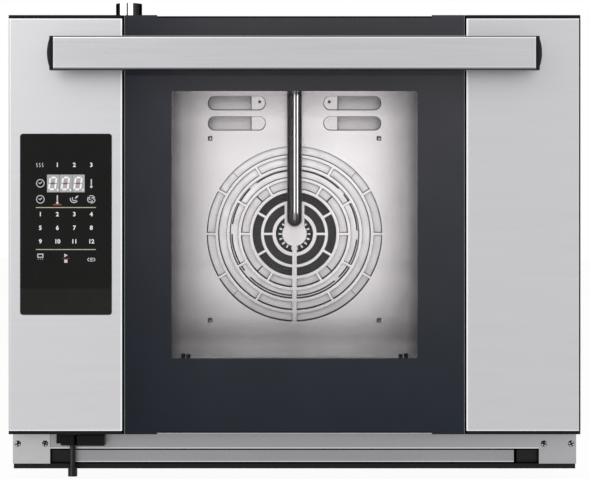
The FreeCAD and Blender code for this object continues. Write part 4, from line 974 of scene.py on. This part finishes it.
class OVEN_OT_guard(bpy.types.Operator):
    """Draw painted shade along the edges of the guard's slots, painted highlights on the pegs, and marks on
    the fan
    """
    bl_idname = "oven.guard"
    bl_label = "Guard edges"

    # Middle of the fan, and each ring of slots: inner radius, outer radius and the angles of its spokes.
    fan_z = 262.6 * MM
    rings = (
        (54.48 * MM, 64.92 * MM, (0, 60, 120, 180, 240, 300)),
        (68.32 * MM, 78.76 * MM, (30, 150, 210, 330)),
        (82.16 * MM, 92.60 * MM, (60, 120, 240, 300)),
        (96.00 * MM, 106.44 * MM, (0, 30, 150, 180, 210, 330)),
    )
    spoke_half, foot_bar_half = 1.4 * MM, 2.75 * MM
    # The long slots above: their ends in X, the heights of their middles and half their width.
    vent_ends, vent_heights, vent_half = (34.9 * MM, 105.3 * MM), (421.2 * MM, 396.7 * MM), 8.7 * MM
    peg_x, peg_heights = 102.4 * MM, (157.8 * MM, 378.5 * MM)
    plug_x, plug_z, plug_radius = 42.3 * MM, 422.9 * MM, 1.75 * MM
    # The bead's painted shade on the fan lies a little above the middle, and is broken beside each fold and
    # at its sides.
    bead_rise, bead_outer, bead_inner = 1.3 * MM, 77.0 * MM, 75.2 * MM
    bead_parts = ((2, 38), (45, 127), (135, 172), (181, 217), (225, 310), (315, 354))
    # Depth of the hub's face behind the fan's front, and the circle of teeth on its lock ring.
    hub_depth, tooth_circle, tooth_count = 19.5 * MM, 17.6 * MM, 18

    def execute(self, context):
        self.line = context.scene.oven_sizes.slot_edge
        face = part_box("fan_guard")[0].y
        self.edge = (face - FILM, face + 0.5 * MM)
        # Painted shade along the slots' cut edges: dark brown-grey stainless.
        shade_tone = grained("painted_slot_shade", linear("#2b2829"), 0.2, 8 * MM, (0.4, 0.5), metallic=1.0)
        # Black steel of the fan's lock ring and the vent plugs; on the pegs, the vent plate's ends and the
        # fan's bead and folds it is painted shade.
        black = grained("black_steel_and_painted_shade", linear("#1d1b1c"), 0.2, 4 * MM, (0.4, 0.5), specular_ior_level=0.2)
        dress(black, "guard_pegs")
        bm = bmesh.new()
        for ring in self.rings:
            self.ring_edges(bm, *ring)
        self.vent_edges(bm)
        add_piece("slot_shades", bm, "chassis", "cavity_steel", shade_tone)
        self.add_peg_marks()
        self.add_vent_plugs(black)
        self.add_fan_marks(black)
        return {"FINISHED"}

    def ray(self, angle, inner, outer, width, offset=0.0):
        """Outline of a stroke outwards from the fan's middle, moved sideways by an offset."""
        turn = math.radians(angle)
        along = Vector((math.cos(turn), math.sin(turn)))
        base = Vector((0, self.fan_z)) + offset * Vector((-along.y, along.x))
        return bar(*(base + along * inner), *(base + along * outer), width)

    def ring_edges(self, bm, inner, outer, angles):
        """Painted shade along the edges of a ring's slots, which end at its spokes: most on their lower
        edges.
        """
        spokes = sorted([(angle, self.spoke_half) for angle in (*angles, 90)] + [(270, self.foot_bar_half)])
        spokes.append((spokes[0][0] + 360, spokes[0][1]))
        for (start, before), (end, after) in zip(spokes, spokes[1:]):
            # Each edge's radius, the way into the slot, and the share of the line that is there at any slope.
            for radius, way, plain in ((outer, -1, 1.5), (inner, 1, 0.35)):
                first = start + math.degrees(math.asin(before / radius))
                last = end - math.degrees(math.asin(after / radius))
                edge = arc(0, self.fan_z, radius, first, last)
                inside = []
                for x, z in edge:
                    rise = way * (z - self.fan_z) / radius
                    scale = 1 + way * self.line * max(0.1, plain + rise) / radius
                    inside.append((x * scale, self.fan_z + (z - self.fan_z) * scale))
                prism(bm, edge + inside[::-1], *self.edge)
            for angle, half, way in ((start, before, 1), (end, after, -1)):
                width = self.line * max(0.2, 0.5 + 0.5 * way * math.cos(math.radians(angle)))
                prism(bm, self.ray(angle, inner, outer, width, way * (half + width / 2)), *self.edge)

    def vent_edges(self, bm):
        """Painted shade round the four long slots in the guard's upper corners: most on their lower edges."""
        lower, upper = 1.3 * self.line, 0.3 * self.line
        corner, hole_corner = 8.4 * MM, 7.8 * MM
        for side in (-1, 1):
            x = sorted(side * end for end in self.vent_ends)
            for middle in self.vent_heights:
                z = (middle - self.vent_half, middle + self.vent_half)
                hole_x, hole_z = (x[0] + self.line, x[1] - self.line), (z[0] + lower, z[1] - upper)
                hole = rounded_box(hole_x, hole_z, hole_corner)
                holed_plate(bm, rounded_box(x, z, corner), hole, *self.edge)

    def add_peg_marks(self):
        """Painted highlights on the peg tips, a little below and to the right of their middles."""
        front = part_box("guard_pegs")[0].y
        bm = bmesh.new()
        for x in (-self.peg_x, self.peg_x):
            for z in self.peg_heights:
                strip(bm, (x - 0.6 * MM, x + 1.5 * MM), (z - 1.6 * MM, z + 0.6 * MM), front - FILM, front)
        add_piece("peg_highlights", bm, "chassis", "screw_steel", shared(screw_steel))

    def add_vent_plugs(self, black):
        """Plugs in the two holes of the plate behind the upper slots, and painted shade along its ends."""
        low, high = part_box("vent_plate")
        end_shade = 0.9 * MM
        bm = bmesh.new()
        for side in (-1, 1):
            prism(bm, circle(side * self.plug_x, self.plug_z, self.plug_radius), low.y, high.y)
            strip(bm, (side * high.x, side * (high.x - end_shade)), (low.z, high.z), low.y - FILM, low.y)
        add_piece("vent_plugs", bm, "chassis", "black_plastic", black)

    def add_fan_marks(self, black):
        """Painted shade of the bead and folds, and a darker inner band, on the fan's front ring, and the
        toothed ring on its hub.
        """
        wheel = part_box("fan_wheel")[0].y
        hub = wheel + self.hub_depth
        bm = bmesh.new()
        # The lock ring and the dull band: outer and inner radius, rear face, thickness and material.
        for outer, inner, front, rise, slot in ((22, 12.5, hub, 1, 0), (67.0, 53.0, wheel, 0.1, 1)):
            holed_plate(bm, circle(0, self.fan_z, outer * MM), circle(0, self.fan_z, inner * MM),
                        front - rise * MM, front, slot)
        for part in self.bead_parts:
            outline = band(0, self.fan_z + self.bead_rise, self.bead_outer, self.bead_inner, *part)
            prism(bm, outline, wheel - FILM, wheel)
        # Painted shade of the folds inside and outside the bead: inner and outer radius and width.
        for angle in (45, 135, 225, 315):
            for inner, outer, width in ((55, 64.5, 1.7), (97, 105.5, 0.7)):
                fold = self.ray(angle, inner * MM, outer * MM, width * MM)
                prism(bm, fold, wheel - 2 * FILM, wheel)
        # Pressed aluminium, a little darker.
        dull = grained("darker_fan_aluminium", linear("#c2bebf"), 0.04, 10 * MM, (0.3, 0.42), metallic=1.0)
        add_piece("fan_marks_and_bead_shade", bm, "convection_fan", "fan_aluminium", black, dull)
        places = arc(0, 0, self.tooth_circle, 0, 360, self.tooth_count)[:-1]
        mesh = instanced("lock_ring_teeth", [(x, 0, z) for x, z in places], self.tooth_tree(), {
            "Length": 3.8 * MM, "Width": 2.0 * MM, "Height": 0.8 * MM, "Material": shared(screw_steel)})
        mesh.transform(Matrix.Translation((0, hub - 1.4 * MM, self.fan_z)))
        add_piece("lock_ring_teeth", mesh, "convection_fan", "fan_aluminium")

    def tooth_tree(self):
        """Node tree that sets a block on each point, turned towards the axis."""
        tree, given = new_tree("ring_teeth", "Length", "Width", "Height")
        size = add_node(tree, "ShaderNodeCombineXYZ", inputs={
            "X": given["Length"], "Y": given["Height"], "Z": given["Width"]})
        block = add_node(tree, "GeometryNodeMeshCube", inputs={"Size": size})
        place = add_node(tree, "GeometryNodeInputPosition")
        turn = add_node(tree, "FunctionNodeAlignEulerToVector", {"axis": "X", "pivot_axis": "Y"},
                        {"Vector": place})
        return end_tree(tree, given, add_node(tree, "GeometryNodeInstanceOnPoints", inputs={
            "Points": given["Geometry"], "Instance": block, "Rotation": turn}))


class OVEN_OT_casing(bpy.types.Operator):
    """Dress the casing, the chimney, the rear fittings and what is inside"""
    bl_idname = "oven.casing"
    bl_label = "Casing"

    # Tones of the chimney's painted dark reflection bands by the distance from its middle, in millimetres.
    streaks = ((-15.9, 0.1), (-9.7, 0.1), (-9.4, 1.0), (-2.1, 1.0), (-1.9, 0.04), (-0.2, 0.04), (0.0, 1.0),
               (5.3, 1.0), (5.7, 0.13), (15.0, 0.06))

    def execute(self, context):
        dress(shared(casing_steel), "casing_shell", "rear_cover", "motor_plate")
        # Mirror-polished stainless tube with a faint drawn grain, with dark bands of painted reflection down
        # its two sides.
        tube = grained("reflection_banded_chimney_stainless", linear("#86868a"), 0.03, 5 * MM, (0.06, 0.09), 0.0,
                       DRAWN, metallic=1.0, specular_tint=opaque(linear("#303030")))
        low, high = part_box("chimney")
        dress(toned(tube, "X", stops_from((low.x + high.x) / 2, self.streaks)), "chimney")
        # Mineral wool: matted yellow-grey fibre.
        wool = grained("mineral_wool", linear("#b8a878"), 0.3, 4 * MM, (0.85, 1.0), 0.6 * MM, (0.4, 0.4, 1))
        dress(wool, "insulation")
        # Grey machine paint on the motor.
        paint = grained("grey_motor_paint", linear("#55565a"), 0.12, 3 * MM, (0.4, 0.55), 0.03 * MM)
        dress(paint, "fan_motor")
        # White glass-filled nylon of the valve and the terminals.
        nylon = grained("white_nylon", linear("#d9d9d4"), 0.05, 2 * MM, (0.45, 0.6), 0.03 * MM)
        dress(nylon, "water_valve", "terminal_block", "safety_thermostat")
        dress(shared(door_black), "water_tube", "cable_gland", "cooling_fan_frame", "cooling_fan_rotor")
        return {"FINISHED"}


class OVEN_OT_louvres(bpy.types.Operator):
    """Make the pressed louvre hoods over the slots of the rear cover"""
    bl_idname = "oven.louvres"
    bl_label = "Louvres"

    # Height of the lowest hood, and the distance between hoods.
    lowest, pitch = 250 * MM, 10 * MM

    def execute(self, context):
        sizes = context.scene.oven_sizes
        gland_low, gland_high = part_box("cable_gland")
        middle, rear = (gland_low.x + gland_high.x) / 2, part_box("rear_cover")[1].y
        points = [(middle, rear, self.lowest + index * self.pitch) for index in range(sizes.hood_count)]
        mesh = instanced("louvre_hoods", points, self.hood_tree(), {
            "Length": 64 * MM, "Depth": sizes.hood_depth, "Height": 6.5 * MM, "Sheet": 0.8 * MM,
            "Material": shared(casing_steel)})
        add_piece("louvre_hoods", mesh, "chassis", "casing_steel")
        return {"FINISHED"}

    def hood_tree(self):
        """Node tree that sets a quarter-round hood, open below, on each point."""
        tree, given = new_tree("louvre_hoods", "Length", "Depth", "Height", "Sheet")
        drum = add_node(
            tree, "GeometryNodeMeshCylinder", inputs={"Vertices": 48, "Radius": 1.0, "Depth": 1.0})
        laid = add_node(tree, "GeometryNodeTransform", inputs={
            "Geometry": drum, "Rotation": (0.0, math.pi / 2, 0.0)})
        # The hood's outside, and its inside, which is less by the sheet at each end, in front and above.
        shapes = []
        for sheets in (0.0, -1.0):
            amounts = {}
            for axis, name, walls in (("X", "Length", 2.0), ("Y", "Depth", 1.0), ("Z", "Height", 1.0)):
                amounts[axis] = add_node(tree, "ShaderNodeMath", {"operation": "MULTIPLY_ADD"},
                                         {0: given["Sheet"], 1: sheets * walls, 2: given[name]})
            size = add_node(tree, "ShaderNodeCombineXYZ", inputs=amounts)
            shapes.append(add_node(tree, "GeometryNodeTransform", inputs={"Geometry": laid, "Scale": size}))
        outside, inside = shapes
        # Blocks cut away what would lie in the cover and below the hood.
        size = add_node(tree, "ShaderNodeVectorMath", {"operation": "SCALE"},
                        {0: (2.0, 2.0, 2.0), "Scale": given["Length"]})
        block = add_node(tree, "GeometryNodeMeshCube", inputs={"Size": size})
        cutters = [inside]
        for way in ((0.0, -1.0, 0.0), (0.0, 0.0, -1.0)):
            away = add_node(tree, "ShaderNodeVectorMath", {"operation": "SCALE"},
                            {0: way, "Scale": given["Length"]})
            cutters.append(add_node(
                tree, "GeometryNodeTransform", inputs={"Geometry": block, "Translation": away}))
        hood = add_node(tree, "GeometryNodeMeshBoolean", {"operation": "DIFFERENCE", "solver": "EXACT"},
                        {"Mesh 1": outside, "Mesh 2": cutters})
        return end_tree(tree, given, add_node(
            tree, "GeometryNodeInstanceOnPoints", inputs={"Points": given["Geometry"], "Instance": hood}))


class OVEN_OT_stage(bpy.types.Operator):
    """Set the floor, the studio lights, the white surround and the camera"""
    bl_idname = "oven.stage"
    bl_label = "Stage"

    # Lamps: name, place, aim, size, power in watts, and the one polished node that a strip lights.
    pipe, tube = (0, 0.076, 0.385), (-0.197, 0.05, 0.51)
    lamps = (
        ("key_light", (-1.65, -2.2, 1.45), (0, -0.25, 0.27), (2.4, 2.4), 26, None),
        ("fill_light", (1.7, -1.8, 1.1), (0, -0.2, 0.25), (2.4, 2.4), 10, None),
        ("top_light", (0.2, 0.3, 2.2), (0, 0, 0.3), (1.6, 1.6), 9, None),
        ("cavity_light", (0, -0.2, 0.335), (0, 0.105, 0.335), (0.27, 0.28), 0.3, None),
        ("pipe_strip_middle", (0.007, -0.174, 0.385), pipe, (0.045, 0.19), 0.4, "humidity_pipe"),
        ("pipe_strip_side", (0.183, -0.095, 0.385), pipe, (0.075, 0.19), 0.7, "humidity_pipe"),
        ("tube_strip_left", (-1.006, -0.537, 0.6), tube, (1.3, 0.35), 10, "chimney"),
        ("tube_strip_front", (0.079, -0.911, 0.6), tube, (0.81, 0.35), 6.5, "chimney"),
    )

    def execute(self, context):
        context.scene.view_settings.view_transform = "Standard"
        self.add_camera(context)
        self.add_world(context)
        self.add_floor()
        for lamp in self.lamps:
            self.add_light(*lamp)
        return {"FINISHED"}

    def add_camera(self, context):
        """The photograph's view: level, from in front."""
        camera = bpy.data.cameras.new("camera")
        camera.sensor_width = 36.0
        camera.lens = 145.77
        camera.clip_end = 50.0
        holder = link_object("camera", camera)
        holder.location = (0.0, -2.7895, 0.2558)
        holder.rotation_euler = (math.pi / 2, 0, 0)
        context.scene.camera = holder

    def seen(self, tree):
        """1 for rays from the camera, mirrors and glass, which see the white surround, and 0 for the rest."""
        rays = add_node(tree, "ShaderNodeLightPath").outputs
        first = add_node(tree, "ShaderNodeMath", {"operation": "ADD"},
                         {0: rays["Is Camera Ray"], 1: rays["Is Glossy Ray"]})
        return add_node(tree, "ShaderNodeMath", {"operation": "ADD", "use_clamp": True},
                        {0: first, 1: rays["Is Transmission Ray"]})

    def add_world(self, context):
        """White surround, which lights the oven less than it shows."""
        world = bpy.data.worlds.new("studio")
        world.use_nodes = True
        tree = world.node_tree
        tree.nodes.clear()
        strength = add_node(tree, "ShaderNodeMapRange", inputs={
            "Value": self.seen(tree), "To Min": 0.45, "To Max": 1.0})
        back = add_node(
            tree, "ShaderNodeBackground", inputs={"Color": (1, 1, 1, 1), "Strength": strength})
        add_node(tree, "ShaderNodeOutputWorld", inputs={"Surface": back})
        context.scene.world = world

    def add_floor(self):
        """White paper sweep, which glows where it is seen and takes a faint shadow."""
        bm = bmesh.new()
        bmesh.ops.create_grid(bm, x_segments=1, y_segments=1, size=30)
        floor = link_object("floor", finished(bm, "floor"))
        material = bpy.data.materials.new("white_sweep")
        material.use_nodes = True
        tree = material.node_tree
        tree.nodes.clear()
        paper = add_node(tree, "ShaderNodeBsdfDiffuse", inputs={"Color": opaque(linear("#f4f4f4"))})
        glow = add_node(tree, "ShaderNodeEmission", inputs={"Color": (1, 1, 1, 1), "Strength": 1.0})
        share = add_node(tree, "ShaderNodeMath", {"operation": "MULTIPLY"}, {0: self.seen(tree), 1: 0.96})
        mix = add_node(tree, "ShaderNodeMixShader", inputs={"Fac": share, 1: paper, 2: glow})
        add_node(tree, "ShaderNodeOutputMaterial", inputs={"Surface": mix})
        floor.data.materials.append(material)

    def add_light(self, name, place, aim, size, power, node):
        """Adds a soft rectangular lamp, which may light one polished node only."""
        light = bpy.data.lights.new(name, "AREA")
        light.shape = "RECTANGLE"
        light.size, light.size_y = size
        light.energy = power
        holder = link_object(name, light)
        holder.location = place
        holder.rotation_euler = (Vector(aim) - Vector(place)).to_track_quat("-Z", "Y").to_euler()
        holder.visible_camera = False
        if node:
            lit = bpy.data.collections.new("lit_by_" + name)
            lit.objects.link(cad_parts[node])
            holder.light_linking.receiver_collection = lit


class OVEN_PT_panel(bpy.types.Panel):
    """Lists the oven's pieces, sizes and colours"""
    bl_idname = "OVEN_PT_panel"
    bl_label = "Convection oven"
    bl_space_type = "VIEW_3D"
    bl_region_type = "UI"
    bl_category = "Oven"

    def draw(self, context):
        for operator in OPERATORS:
            self.layout.operator(operator.bl_idname)
        for group in (context.scene.oven_sizes, context.scene.oven_colours):
            box = self.layout.box()
            for name in group.__annotations__:
                box.prop(group, name)


# In the order in which they run.
OPERATORS = [
    OVEN_OT_stage, OVEN_OT_door, OVEN_OT_glass, OVEN_OT_handle, OVEN_OT_control_panel, OVEN_OT_base,
    OVEN_OT_screws, OVEN_OT_cavity, OVEN_OT_guard, OVEN_OT_casing, OVEN_OT_louvres,
]
CLASSES = [OvenColours, OvenSizes, *OPERATORS, OVEN_PT_panel]


def register():
    for item in CLASSES:
        bpy.utils.register_class(item)
    bpy.types.Scene.oven_colours = PointerProperty(type=OvenColours)
    bpy.types.Scene.oven_sizes = PointerProperty(type=OvenSizes)


def unregister():
    del bpy.types.Scene.oven_sizes
    del bpy.types.Scene.oven_colours
    for item in reversed(CLASSES):
        bpy.utils.unregister_class(item)


def main():
    register()
    bpy.ops.oven.stage()
    bpy.ops.oven.door()
    bpy.ops.oven.glass()
    bpy.ops.oven.handle()
    bpy.ops.oven.control_panel()
    bpy.ops.oven.base()
    bpy.ops.oven.screws()
    bpy.ops.oven.cavity()
    bpy.ops.oven.guard()
    bpy.ops.oven.casing()
    bpy.ops.oven.louvres()


if __name__ == "__main__":
    main()
